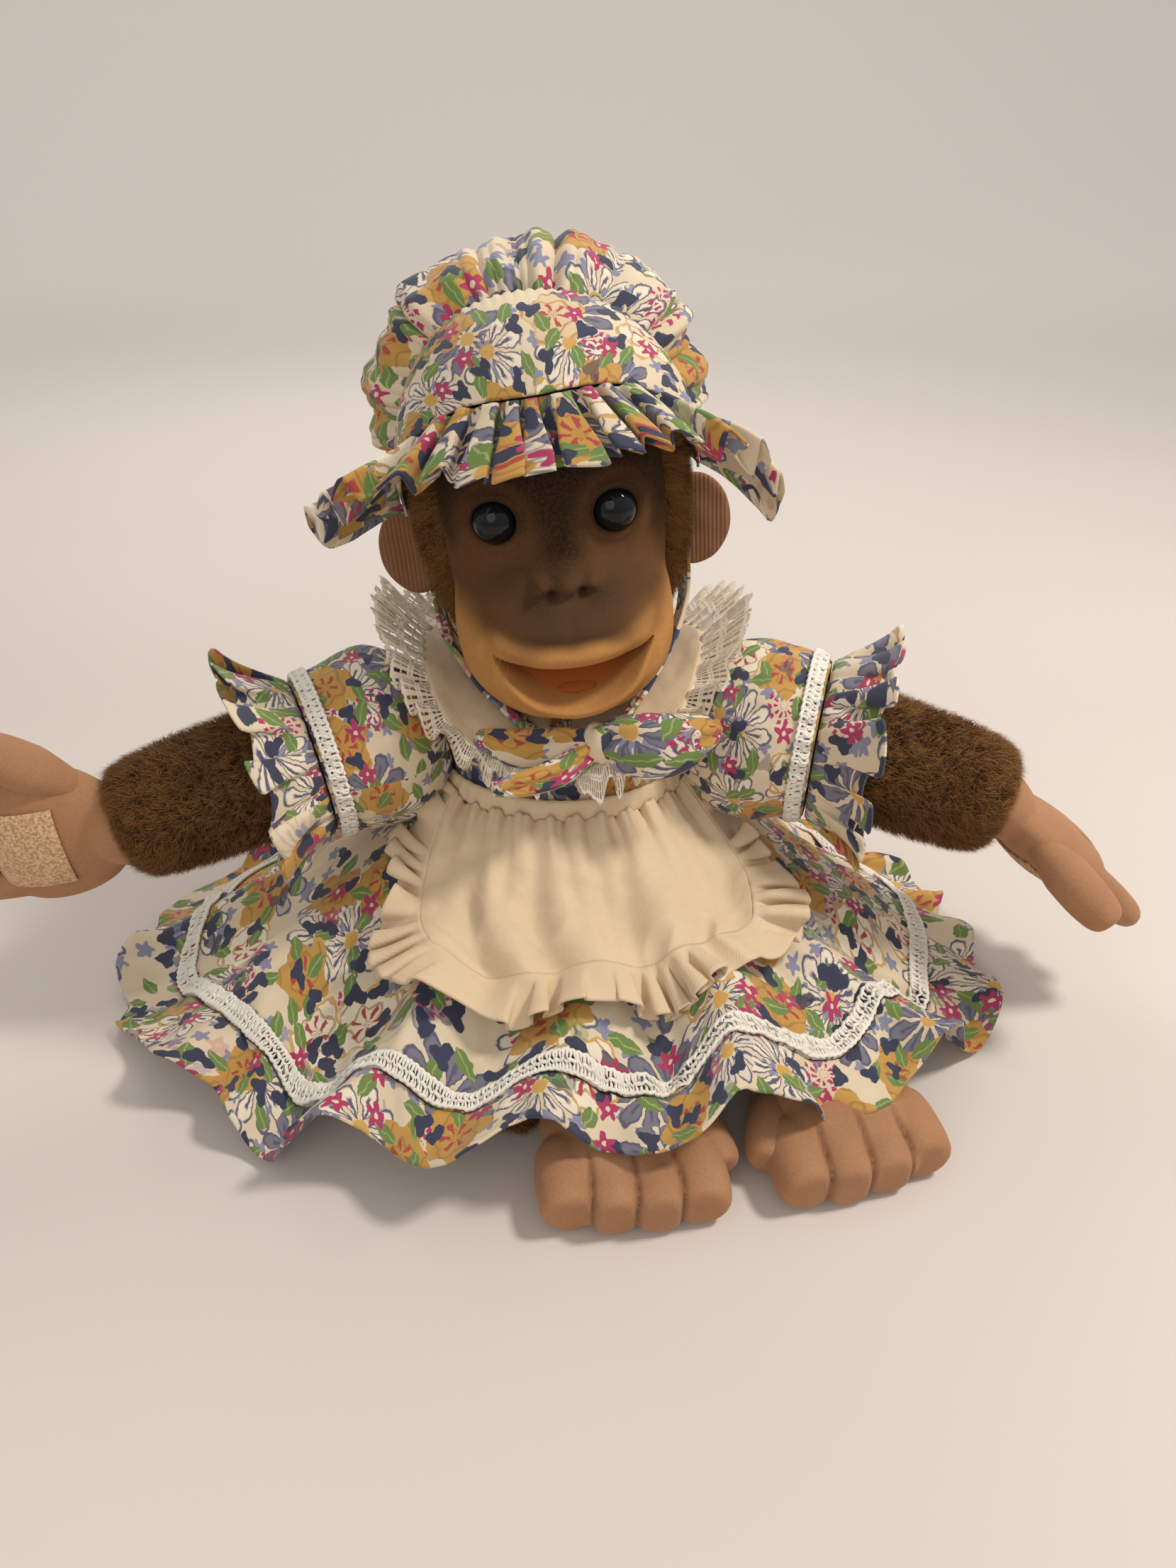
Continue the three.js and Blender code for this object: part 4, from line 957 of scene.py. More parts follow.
class PUPPET_OT_bodice(bpy.types.Operator):
    """The bodice of the dress and the tab that closes it behind"""

    bl_idname = "puppet.bodice"
    bl_label = "Bodice"

    def execute(self, context):
        def place(u, v):
            angle = skirt_angle(u)
            height = mix(WAIST_HEIGHT + 1, 123, v)
            return bodice_ring(angle, height, 1.9 + 0.5 * wander(angle / 16, height / 9, 2.0))

        bodice = sheet_piece("bodice", place, 150, 24, laid_out(260, 42), thick=0.8)
        sewn(bodice, "root", "print", "dress_bodice")

        def tab_place(u, v):
            return bodice_ring(mix(150, 210, u), 103 + v * 10, 4.6)

        tab = sheet_piece("closing_tab", tab_place, 30, 6, laid_out(50, 10), "hook_tape", thick=1.5)
        worn(tab, "root", "hook", "placket_tab")
        return {"FINISHED"}


SLEEVE_START = 6
SLEEVE_END = UPPER_ARM - 3
CUFF_FRILLS = 12
CUFF_WIDTH = 23


def sleeve_place(side):
    shift = 3.0 * SIDES[side]

    def place(u, v):
        turn = TURN * u
        swell = math.sin(math.pi * clamp(v) ** 0.8)
        gathers = math.cos(26 * turn + 2 * wander(math.cos(turn) * 2, math.sin(turn) * 2, shift)) * 0.9
        gathers *= math.exp(-((1 - v) * 7)) + 0.8 * math.exp(-v * 7)
        x, y = math.cos(turn), math.sin(turn)
        soft = noise.noise(Vector((x * 1.7, y * 1.7, v * 1.6 + shift))) * 3.4
        soft += noise.noise(Vector((x * 4.5, y * 4.5, v * 4 + shift))) * 1.3
        radius = mix(23, 29.5, v) + 9 * swell + soft * swell + gathers
        return ring_point(side, turn, mix(SLEEVE_START, SLEEVE_END, v), radius)

    return place


def cuff_place(side):
    shift = 9.0 + 4 * SIDES[side]

    def place(u, v):
        turn = TURN * u
        x, y = math.cos(turn), math.sin(turn)
        uneven = noise.noise(Vector((x * 1.6, y * 1.6, shift)))
        height, fold = frilled(CUFF_FRILLS * u + 0.9 * uneven, 0.7, 0.15 * v)
        pleats = height * 4.8 * v * (1 + 0.4 * uneven)
        pleats += math.cos(27 * turn + 5 * uneven) * 0.8 * (1 - v * 0.6)
        curl = 3.0 * v**4
        radius = mix(29.7, 40, v**0.7) + pleats + 3 * uneven * v + curl
        wave = 2.6 * v * math.sin(CUFF_FRILLS * turn + 3.2 * uneven + 0.9)
        out = SLEEVE_END + 1.2 + v * CUFF_WIDTH + wave - curl * 0.6
        return ring_point(side, turn + TURN * fold / CUFF_FRILLS, out, radius)

    return place


class PUPPET_OT_sleeves(bpy.types.Operator):
    """Two puff sleeves, each with a frilled cuff and a white braid on the gather"""

    bl_idname = "puppet.sleeves"
    bl_label = "Sleeves"

    def execute(self, context):
        for side, sign in SIDES.items():
            body = f"upper_arm_{side}"
            shoulder, _, _ = arm_points(side)
            puff = sleeve_place(side)

            flat = laid_out(225, 66, 400 * sign)
            sleeve = sheet_piece(f"sleeve_{side}_puff", puff, 170, 44, flat, closed=True)
            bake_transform(sleeve)
            flat = laid_out(330, 27, 300 * sign, 90)
            frill = sheet_piece(f"cuff_{side}_frill", cuff_place(side), 480, 16, flat, closed=True)

            def route(u, w, side=side, puff=puff):
                share = 0.92 + w * 0.055
                middle = puff(u, share)
                axle = ring_point(side, 0, mix(SLEEVE_START, SLEEVE_END, share), 0)
                return middle + (middle - axle).normalized() * 1.9

            braid = gimp_braid(f"sleeve_{side}_gimp", body, f"sleeve_braid_{side}", route, 38)
            sewn(sleeve, None, "print", f"sleeve_{side}")
            sewn(frill, body, "print", f"sleeve_ruffle_{side}")
        return {"FINISHED"}


# Collar


COLLAR_SPAN = (6, 158)
LACE_FRILLS = 19
LACE_WIDTH = 19
COLLAR_WIDTH = 36


def collar_point(angle, out):
    """A place on the collar, by degrees from the front and its way out."""
    turn = math.radians(angle)
    side = math.sin(turn) ** 2
    share = min(1.0, out / 56)
    reach = mix(24 + 36 * math.sin(share * math.pi / 2), 24 + out * 0.95, side)
    height = mix(125.6 - 24 * share**2, 127.6 + out * 0.44, side)
    return Vector((TORSO_X + math.sin(turn) * reach, -math.cos(turn) * reach, height))


def collar_width(u):
    wider = 10 * math.exp(-(((u - 0.2) / 0.14) ** 2))
    return COLLAR_WIDTH * (1 - 0.18 * math.exp(-u * 9) - 0.2 * u) + wider


class PUPPET_OT_collar(bpy.types.Operator):
    """Two cream collar leaves with a gathered lace edge"""

    bl_idname = "puppet.collar"
    bl_label = "Collar"

    def execute(self, context):
        for side, sign in SIDES.items():

            def leaf(u, v, sign=sign):
                angle = sign * mix(*COLLAR_SPAN, u)
                spot = collar_point(angle, v * collar_width(u))
                spot.z += (wander(u * 7, v * 2.4, 3.0 * sign) * 2.2 + wander(u * 19, v * 6, 5.0) * 0.6) * v
                return spot

            flat = laid_out(150, 34)
            collar = sheet_piece(f"collar_leaf_{side}", leaf, 110, 26, flat, "cream_cotton", thick=1.6)

            def frill(u, v, sign=sign):
                out = collar_width(u) - 1 + v * LACE_WIDTH + 1.5 * v * math.sin(u * 150)
                spot = collar_point(sign * mix(*COLLAR_SPAN, u), out)
                uneven = wander(u * 8, 0.5, 7.0 * sign)
                height, _ = frilled(u * LACE_FRILLS + 1.2 * uneven, 1.1, 0)
                rise = 7 * v * math.sin(math.radians(mix(*COLLAR_SPAN, u))) ** 2
                spot.z += height * (0.6 + 4.4 * v) + uneven * 4 * v + rise
                return spot

            flat = laid_out(330, 20)
            lace = sheet_piece(f"collar_frill_{side}", frill, 340, 12, flat, "cream_lace", thick=0.5)
            sewn(collar, "root", "cotton", f"collar_{side}")
            sewn(lace, "root", "lace", f"collar_lace_{side}")
        return {"FINISHED"}


# Apron


def apron_span(share):
    return mix(-51, -28, share), mix(62, 44, share)


def apron_angle(u, v):
    """Degrees from the front and share of the way down the skirt, with the panel's corners rounded."""
    side = 2 * u - 1
    drop = v * (1 - 0.09 * abs(side) ** 5)
    first, last = apron_span(drop)
    return mix(first, last, 0.5 + side / 2 * (1 - 0.1 * v**5)), 0.02 + drop * 0.47


def apron_point(u, v, lift=4.4):
    angle, share = apron_angle(u, v)
    spot = skirt_point(angle, share, 0.6, 0.0)
    gather = math.exp(-v * 2.6)
    folds = 1.6 * v + math.cos(u * TURN * 10 + 2.5 * wander(u * 4, v * 1.5, 8.0)) * 2.0 * gather
    folds += math.cos(u * TURN * 4 + 3 * wander(u * 3, v, 2.0)) * 3.4 * v
    folds += (0.3 - abs(wander(u * 6, v * 2.5, 7.0))) * 5 * (0.3 + v)
    folds += math.cos(u * TURN * 27 + 3 * wander(u * 9, 0.7, 4.0)) * 0.8 * math.exp(-v * 9)
    soft = wander(u * 5, v * 3, 11.0) * 1.8 + wander(u * 16, v * 12, 3.0) * 0.5
    return spot + Vector((0, -0.35, 0.93)) * (lift + folds + soft)


APRON_FRILLS = 24
APRON_FRILL_WIDTH = 14.5


def apron_edge_point(u, v):
    out = v * (APRON_FRILL_WIDTH + 9 * wander(u * 13, 0.1, 9.0))
    way = clamp(u)
    side_share = 0.3
    if way < side_share:
        border, outward = (0, way / side_share), (-1, (way / side_share) ** 4)
    elif way > 1 - side_share:
        border, outward = (1, (1 - way) / side_share), (1, ((1 - way) / side_share) ** 4)
    else:
        middle = (way - side_share) / (1 - 2 * side_share)
        border, outward = (middle, 1), (math.copysign(abs(2 * middle - 1) ** 4, middle - 0.5), 1)
    angle, share = apron_angle(*border)
    reach = mix(WAIST_REACH, FRONT_REACH, share)
    long = math.hypot(*outward)
    uneven = wander(way * 14, 0.3, 6.0)
    height, fold = frilled(way * APRON_FRILLS + 3.4 * wander(way * 9, 0.8, 5.0), 0.9, 0.12 * v)
    height *= 1 + 0.9 * wander(way * 21, 0.4, 1.0)
    along = fold * 330 / APRON_FRILLS
    beyond = angle + math.degrees((outward[0] * out + outward[1] * along) / long / reach)
    down = share + (outward[1] * out - outward[0] * along) / long / (FRONT_REACH - WAIST_REACH)
    away = skirt_point(beyond, max(0.02, down), 0.6, 0.0) - skirt_point(angle, share, 0.6, 0.0)
    rise = height * (0.4 + 4.0 * v) * min(1, v * 4) + 1.5 * v + uneven * 6 * v
    return apron_point(*border, 4.6) + away + Vector((0, -0.35, 0.93)) * rise


class PUPPET_OT_apron(bpy.types.Operator):
    """The cream apron: gathered panel, frill, waistband and the bow of its strings"""

    bl_idname = "puppet.apron"
    bl_label = "Apron"

    def execute(self, context):
        cream = "cream_cotton"
        panel = sheet_piece("apron_cloth", apron_point, 200, 70, laid_out(150, 80), cream)
        frill = sheet_piece("apron_frill", apron_edge_point, 460, 14, laid_out(420, 16, 0, 90), cream)

        def band_place(u, v):
            angle = mix(-177, 177, u)
            gather = math.cos(u * TURN * 60) * 0.25
            return bodice_ring(angle, 89 + v * 8, 4.4 + gather + 0.6 * math.sin(math.pi * v))

        band = sheet_piece("apron_band", band_place, 260, 6, laid_out(320, 8, 0, 150), cream, thick=1.8)
        shape = bmesh.new()
        centre = Vector((TORSO_X, TORSO_Y + 58 * TORSO_DEPTH, 93))
        add_ball(shape, centre, (6.5, 4.8, 6))
        for sign in SIDES.values():
            start = centre + Vector((sign * 3, 1, 0))
            loop_points = ((sign * 20, 4, 3), (sign * 36, 3, 1))
            loop = smooth_path([start] + [centre + Vector(at) for at in loop_points])
            add_limb(shape, loop, lambda t: 5 + 6.5 * math.sin(math.pi * t), wide=(0, 0, 1), flat=0.4)
            tail_points = ((sign * 27, 5, -10), (sign * 47, 9, -26))
            tail = smooth_path([start] + [centre + Vector(at) for at in tail_points])
            add_limb(shape, tail, lambda t: 4.8, wide=(0, 0, 1), flat=0.3)
        bow = finished("apron_bow_cloth", shape, cream)
        fused(bow, 1.0, 3)
        groove_shade = points_of(bow)
        folds = np.array([noise.noise(Vector(p) / 4.0) for p in groove_shade])
        groove_shade[:, 1] += folds * 1.2
        move_points(bow, groove_shade)
        sewn(panel, "root", "cotton", "apron_panel")
        sewn(frill, "root", "cotton", "apron_ruffle")
        sewn(band, "root", "cotton", "apron_waistband")
        sewn(bow, "root", "cotton", "apron_bow")
        return {"FINISHED"}


# The head, in its own axes


def soft_step(low, high, values):
    """0 up to low and 1 from high on, for many values at once."""
    share = np.clip((values - low) / (high - low), 0, 1)
    return share * share * (3 - 2 * share)


def hump(values, half):
    return np.exp(-((values / half) ** 2))


def world_places(axes, places):
    turn = np.array(axes.to_3x3())
    return places @ turn.T + np.array(axes.translation)


def local_places(axes, places):
    turn = np.array(axes.to_3x3())
    return (places - np.array(axes.translation)) @ turn


FACE_CENTRE = np.array((0.0, -6.0, 34.0))
BROW = ((0, -4, 54), (41, 39, 44))
CHEEKS = ((0, -9, 34), (39.5, 33, 36))
MUZZLE = ((0, -18, 14.5), (40, 42, 31.5))
JAW = ((0, -27, 12.0), (39.5, 43.5, 33.5))
CHIN_REAR = (-14, -11)
CHIN_SLOPE = 0.19
FACE_LINE = 1.6
FACE_ROWS = 290
EYE_SPAN = 20
EYE_HEIGHT = 53
EYE_FORWARD = -32
EYE_BALL = 8.2
MOUTH_HALF = 27.5


def reach_to(centre, radii, directions):
    """How far each direction runs from the middle of the face to an egg shape."""
    radii = np.array(radii, float)
    start = (FACE_CENTRE - np.array(centre)) / radii
    along = directions / radii
    a = np.sum(along**2, axis=1)
    b = along @ start
    c = start @ start - 1
    return (np.sqrt(np.maximum(b * b - a * c, 0)) - b) / a


def rounded_out(eggs, directions, softness=1.6):
    """The outermost of some egg shapes along each direction, with soft changes from one to the next."""
    return softness * np.log(sum(np.exp(reach_to(*egg, directions) / softness) for egg in eggs))


def lip_lines(side):
    """Heights of the upper and the lower lip across the mouth."""
    share = np.abs(side) / MOUTH_HALF
    return 9.0 + 5.0 * share**3, -7.0 + 20 * share**2.1


def face_relief(places):
    """Presses the eye sockets, the nose and the mouth into the rounded face."""
    x, z = places[:, 0].copy(), places[:, 2].copy()
    side = x - FACE_LINE
    for sign in SIDES.values():
        away = np.hypot(x - sign * EYE_SPAN, z - EYE_HEIGHT)
        over = (z - EYE_HEIGHT) / 9
        bed = -35.6 + 0.3 * (np.abs(x) - EYE_SPAN)
        places[:, 1] = mix(places[:, 1], bed, 0.92 * (1 - soft_step(8.8, 16.5, away)))
        places[:, 1] += 7 * (1 - soft_step(5.8, 7.6, away))
        places[:, 1] -= hump(away - 9.2, 1.5) * (1.5 + 0.5 * np.clip(over, -1, 1))
        places[:, 1] += hump(away - 12.8, 1.4) * 0.7 * soft_step(-0.4, 0.9, over)
    brow = 1.6 * hump(z - 70, 6) * (1 - 0.4 * hump(side, 8))
    bridge = 1.8 * hump(side, 6) * soft_step(64, 50, z) * soft_step(30, 38, z)
    nose = 4.6 * hump(side, 7) * hump(z - 37.5, 5.5)
    wings = 5.0 * hump(np.abs(side) - 9.0, 3.0) * hump(z - 36.0, 3.4)
    nostrils = 3.0 * hump(np.abs(side) - 5.2, 2.4) * hump(z - 32.6, 1.5)
    under_nose = 1.8 * hump(side, 10) * hump(z - 30.6, 1.8)
    groove = 0.6 * hump(side, 2.6) * hump(z - 23, 5)
    upper, lower = lip_lines(side)
    reach = np.abs(side)
    muzzle = 2.2 * hump(z - upper - 8, 8) * (1 - soft_step(22, 38, reach))
    upper_lip = 2.2 * hump(z - upper - 3.0, 3.2) * (1 - soft_step(25, 30, reach))
    over_lip = 0.9 * hump(z - upper - 8.5, 2.2) * (1 - soft_step(20, 30, reach))
    corners = 1.6 * hump(reach - 24, 6) * hump(z - upper - 5, 4)
    lower_lip = 2.0 * hump(z - lower + 2.4, 2.4) * (1 - soft_step(19, 30, reach))
    under_lip = 1.3 * hump(z - lower + 7.6, 2.6) * (1 - soft_step(14, 28, reach))
    fold = 1.5 * hump(reach - 30.6 - 0.12 * (z - 14), 1.6) * hump(z - 13, 8)
    cheek = 1.4 * hump(reach - 30, 8) * hump(z - 31, 8)
    inside = np.minimum(upper - z, z - lower)
    inside = np.where(reach < MOUTH_HALF, inside, -1)
    opening = 13 * soft_step(-0.4, 2.8, inside)
    places[:, 1] -= brow + bridge + nose + wings + muzzle + upper_lip + corners + lower_lip + cheek
    places[:, 1] += nostrils + under_nose + groove + over_lip + under_lip + fold + opening
    return places


def face_paint(piece, places):
    """Where the airbrush has darkened the face, together with painted shade under the nose and in the
    nostrils, painted shadow of the bonnet brim on the brow, and a painted highlight on the nose wings.
    """
    x, z = places[:, 0], places[:, 2]
    blur = np.array([noise.noise(Vector(place) / 11.0) for place in places])
    side = x - FACE_LINE
    reach = np.abs(side)
    upper, lower = lip_lines(side)
    eye_away = np.minimum(np.hypot(x - EYE_SPAN, z - EYE_HEIGHT), np.hypot(x + EYE_SPAN, z - EYE_HEIGHT))
    high = z + 5 * blur
    bridge = hump(side, 11 + 4 * soft_step(50, 66, z)) * soft_step(33, 44, high)
    # Dark across the brow and around the eyes: partly the airbrush, partly painted shadow of the bonnet
    # brim.
    above = soft_step(42, 56, high + 4 * hump(reach - 38, 8))
    below_eye = soft_step(0, -1, (z - EYE_HEIGHT) / 9)
    rims = hump(eye_away - 11.5, 3.4) * mix(0.5, 0.85, below_eye)
    # Painted shade under the nose wings and in the nostrils.
    beside_nose = hump(reach - 10, 6) * hump(z - 30.5, 3.5) * 0.45
    nostrils = hump(reach - 5.3, 1.9) * hump(z - 32.4, 1.6) * 0.9
    dark = np.maximum.reduce([bridge * 0.95, above, beside_nose, nostrils]) * (1 - rims)
    inside = np.where(reach < MOUTH_HALF, np.minimum(upper - z, z - lower), -1)
    mouth = soft_step(1.2, 3.4, inside)
    field(piece, "dark", dark * (1 - mouth) * 0.92)
    cheek = soft_step(28, 39, reach + 3 * blur) * (1 - soft_step(17, 32, z))
    field(piece, "brown", soft_step(12, 26, z + 6 * blur) * (1 - 0.85 * cheek))
    muzzle = np.exp(-(((reach + 4 * blur) / (23 + 0.25 * (z - 12))) ** 4))
    grey = muzzle * soft_step(4.5, 10.0, z - upper + 2 * blur) * (1 - 0.6 * soft_step(32, 44, z))
    # Painted highlight: the grey is taken off the nose wings so that they show lighter gold.
    field(piece, "grey", grey * (1 - hump(reach - 9.5, 2.2) * hump(z - 37.0, 3.0) * 0.8))
    field(piece, "inside", mouth)


class PUPPET_OT_face(bpy.types.Operator):
    """The flocked face from brow to chin, with its open mouth, and the two glossy eyes"""

    bl_idname = "puppet.face"
    bl_label = "Face"

    def execute(self, context):
        shape = bmesh.new()
        bmesh.ops.create_grid(shape, x_segments=FACE_ROWS, y_segments=FACE_ROWS, size=1)
        face = finished("face", shape, "flocked_face")
        flat = np.clip(points_of(face), -1, 1)
        s, t = flat[:, 0], flat[:, 1]
        across, up = s * np.sqrt(1 - t * t / 2), t * np.sqrt(1 - s * s / 2)
        away = np.hypot(across, up)
        polar = away * math.radians(88)
        out = np.sin(polar) / np.maximum(away, 1e-9)
        directions = np.stack([across * out, -np.cos(polar), up * out], axis=1)
        reach = rounded_out((BROW, CHEEKS, MUZZLE), directions)
        above = FACE_CENTRE + directions * reach[:, None]
        upper, lower = lip_lines(above[:, 0] - FACE_LINE)
        beside = soft_step(20, 32, np.abs(above[:, 0]))
        middle = np.minimum((upper + lower) / 2 + 1.5, 13.5)
        in_jaw = 1 - soft_step(middle - 3 - 9 * beside, middle + 4 + 9 * beside, above[:, 2])
        reach = mix(reach, rounded_out((BROW, CHEEKS, JAW), directions), in_jaw)
        reach -= 2.4 * soft_step(0.93, 1.0, away) ** 2
        rounded = FACE_CENTRE + directions * reach[:, None]
        underside = CHIN_REAR[1] + CHIN_SLOPE * (rounded[:, 1] - CHIN_REAR[0])
        rounded[:, 2] = np.logaddexp(rounded[:, 2] / 1.2, underside / 1.2) * 1.2
        paint = rounded.copy()
        move_points(face, world_places(HEAD_AXES, face_relief(rounded)))
        face_paint(face, paint)
        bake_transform(face)
        worn(face, None, "skin", "face_mask", "lower_jaw")
        for side, sign in SIDES.items():
            shape = bmesh.new()
            middle = (sign * EYE_SPAN, EYE_FORWARD, EYE_HEIGHT)
            add_ball(shape, middle, (EYE_BALL,) * 3, fine=56)
            eye = finished(f"eye_{side}_ball", shape, "glossy_eye")
            places = points_of(eye)
            forward = (places - np.array(middle)) / EYE_BALL
            tilted = forward @ np.array((0.06 * sign, -0.98, 0.1))
            field(eye, "iris", np.arccos(np.clip(tilted, -1, 1)) / (math.pi / 2))
            move_points(eye, world_places(HEAD_AXES, places))
            worn(eye, "head", "eye", f"eye_{side}")
        return {"FINISHED"}


HEAD_CENTRE = Vector((0, 6, 44))
HEAD_RADII = (48.5, 42, 52)
FACE_REAR = -8.5
EAR_RADII = (14, 5, 18)
EAR_SPAN = 54


class PUPPET_OT_head(bpy.types.Operator):
    """The plush of the head and the two ribbed ears"""

    bl_idname = "puppet.head"
    bl_label = "Head"

    def execute(self, context):
        plush = soft_copy("head_plush", "plush_backing", 2.0, 4, -2.0)
        worn(plush, "head", "plush", padded=0.7)
        back = HEAD_AXES.inverted()

        def skull(u, v):
            polar, turn = math.pi * clamp(v), TURN * u
            ring = math.sin(polar) ** 0.6
            direction = (math.cos(turn) * ring, math.sin(turn) * ring, -math.cos(polar))
            spot = HEAD_CENTRE + Vector([part * radius for part, radius in zip(direction, HEAD_RADII)])
            spot.y = max(spot.y, FACE_REAR)
            return on_head(spot)

        shape = bmesh.new()
        add_grid(shape, skull, 72, 56, closed=True)
        cover = finished("head_cloth", shape, "plush_backing")
        worn(cover, "head", "plush", padded=0.7)

        def shown(root):
            local = back @ root
            return -4 < local.z < 76 and local.y < 34 and (local.y > FACE_REAR + 0.1 or abs(local.x) > 35)

        def shown_behind(root):
            local = back @ root
            return -8 < local.z < 60 and local.y > 30

        for lot, region in enumerate((shown, shown, shown, shown_behind)):
            name = f"head_pile_{lot}"
            pile(name, "head", skull, 16384, (0, 0, -0.5), 3 + lot, region, 1.0, on_head(HEAD_CENTRE), 1)
        for side, sign in SIDES.items():
            shape = bmesh.new()
            add_ball(shape, (0, 0, 0), EAR_RADII, fine=64)
            for vert in shape.verts:
                inner = max(0.0, 1 - (vert.co.x / EAR_RADII[0]) ** 2 - (vert.co.z / EAR_RADII[2]) ** 2)
                if vert.co.y < 0:
                    vert.co.y += 4.6 * inner**0.9
                vert.co.y += wander(vert.co.x / 9, vert.co.z / 9, 2.0)
                vert.co += Vector((sign * EAR_SPAN, 14, 30))
            ear = finished(f"ear_{side}_soft", shape, "shaded_ribbed_velour", HEAD_AXES)
            worn(ear, "head", "velour", f"ear_{side}", padded=0.4)
        return {"FINISHED"}


# Forearms and hands


class PUPPET_OT_forearms(bpy.types.Operator):
    """Two plush forearms"""

    bl_idname = "puppet.forearms"
    bl_label = "Forearms"

    def execute(self, context):
        for side, sign in SIDES.items():
            _, elbow, wrist = arm_points(side)
            along = aim(side, ARM_POSE[side]["fore"])
            path = smooth_path([elbow - along * 12, elbow + along * 20, wrist + along * 2])
            surface = limb_surface(path, lambda t: mix(18, 22.5, min(1.0, 2 * t)), blunt=0.26)
            shape = bmesh.new()
            add_grid(shape, surface, 48, 40, closed=True)
            base = finished(f"forearm_{side}_cloth", shape, "plush_backing")
            worn(base, f"forearm_{side}", "plush", f"forearm_{side}", padded=0.6)
            shown = elbow + along * 8
            for lot in range(2):
                pile(
                    f"forearm_{side}_pile_{lot}", f"forearm_{side}", surface, 16384, along * 0.6,
                    5 + sign + 10 * lot, lambda root, a=along, b=shown: (root - b).dot(a) > 0,
                )
        return {"FINISHED"}


PALM_PATH = ((5, 0, 0), (50.8, 0, 0))
FINGER_PITCH = 12.4
HAND_FLAT = 25 / 62


def palm_radius(t):
    return HAND_WIDTH / 2 * (0.66 + 0.34 * math.sin(math.pi * min(1, 0.62 * t)))


def palm_height(x, y):
    """Half the thickness of the palm at a place."""
    share = clamp((x - PALM_PATH[0][0]) / (PALM_PATH[1][0] - PALM_PATH[0][0]))
    polar = math.acos(1 - 2 * share)
    radius = palm_radius(share) * math.sin(polar) ** 0.42
    return HAND_FLAT * math.sqrt(max(0.0, radius * radius - y * y))


class PUPPET_OT_hands(bpy.types.Operator):
    """Two velour hands with stitched fingers, a thumb and a fastening patch on the palm"""

    bl_idname = "puppet.hands"
    bl_label = "Hands"

    def execute(self, context):
        for side, palm in SIDES.items():
            axes = hand_axes(side)
            shape = bmesh.new()
            add_limb(shape, smooth_path(PALM_PATH), palm_radius, (0, 1, 0), HAND_FLAT, 0.42)
            add_ball(shape, (2, 0, 0), (18, 18, 13.5))
            for k in (-1.5, -0.5, 0.5, 1.5):
                tip = (HAND * (1 - 0.05 * (k - 0.5) ** 2), FINGER_PITCH * k, palm * 3)
                finger = smooth_path([(34.4, FINGER_PITCH * k, 0), tip])
                add_limb(shape, finger, lambda t: 7.3 * (1.1 - 0.15 * t), (0, 1, 0), 0.95, 0.42)
            hand = finished(f"hand_{side}_velour", shape, "tan_velour", axes)
            fused(hand, 1.1, 5)
            places = local_places(axes, points_of(hand))
            groove = np.zeros(len(places))
            for k in (-1, 0, 1):
                line = hump(places[:, 1] - FINGER_PITCH * k - 0.4 * np.sin(places[:, 0] / 6), 1.1)
                groove = np.maximum(groove, line * soft_step(31, 38, places[:, 0]))
            places[:, 2] -= np.sign(places[:, 2] - palm * 1.5) * groove * 1.5
            move_points(hand, world_places(axes, places))
            # The groove's depth, which the velour paints dark as shade in the groove.
            field(hand, "groove", groove * 0.85)
            worn(hand, f"hand_{side}", "velour", f"hand_{side}", padded=0.6)

            shape = bmesh.new()
            thumb_path = smooth_path([(14, 16, palm * 0.5), (34, 34.4, palm * 5), (46, 42.4, palm * 7)])
            add_limb(
                shape, thumb_path, lambda t: mix(5.5, 9.8, min(1, t * 3)) - 1.6 * t, (0, 1, 0), 0.95, 0.45
            )
            thumb = finished(f"thumb_{side}_velour", shape, "tan_velour", axes)
            worn(thumb, f"hand_{side}", "velour", f"thumb_{side}", padded=0.6)

            def patch_place(u, v, palm=palm, axes=axes):
                x, y = mix(23.5, 49.5, u), mix(-17, 15, v)
                edge = min(u, 1 - u, v, 1 - v)
                lift = 1.1 + 0.25 * wander(x / 6, y / 6, 3.0) - 0.5 * math.exp(-edge * 16)
                return axes @ Vector((x, y, palm * (palm_height(x, y) + lift)))

            flat = laid_out(26, 32)
            patch = sheet_piece(f"palm_{side}_tape", patch_place, 60, 66, flat, "hook_tape", thick=1.2)
            sewn(patch, f"hand_{side}", "hook", f"palm_patch_{side}")
        return {"FINISHED"}


# Legs and feet


LEG_PATH = {
    "left": ((-34, -38, 18), (-62, -92, 15.5), (-8, -126, 15.5)),
    "right": ((38, -38, 18), (84, -54, 15.5), (105, -88, 15.5)),
}
FOOT_AT = {"left": (24, -132, 8), "right": (101, -119, 12)}
FOOT_WIDTH = 60
FOOT_LENGTH = 68
TOE_PITCH = FOOT_WIDTH / 4.1
FOOT_MIDDLE = 12.5
SOLE = 0.3


class PUPPET_OT_legs(bpy.types.Operator):
    """Two plush legs"""

    bl_idname = "puppet.legs"
    bl_label = "Legs"

    def execute(self, context):
        for side, sign in SIDES.items():
            points = [Vector(point) for point in LEG_PATH[side]]
            path = smooth_path(points)
            surface = limb_surface(path, lambda t: 11.5 * (0.9 + 0.1 * math.sin(math.pi * t)), blunt=0.4)
            shape = bmesh.new()
            add_grid(shape, surface, 40, 60, closed=True)
            for point in points[:1]:
                add_ball(shape, point, (13, 13, 13))
            leg = finished(f"leg_{side}_cloth", shape, "plush_backing")
            worn(leg, f"leg_{side}", "plush", f"leg_{side}", padded=0.6)
            ahead = (points[2] - points[1]).normalized()
            fur = pile(
                f"leg_{side}_pile", f"leg_{side}", surface, 8192, ahead * 0.6 + Vector((0, 0, -0.2)),
                11 + sign, lambda root: root.z > 4, 0.9,
            )
            places = points_of(fur)
            places[:, 2] = np.maximum(places[:, 2], 0.6)
            move_points(fur, places)
        return {"FINISHED"}


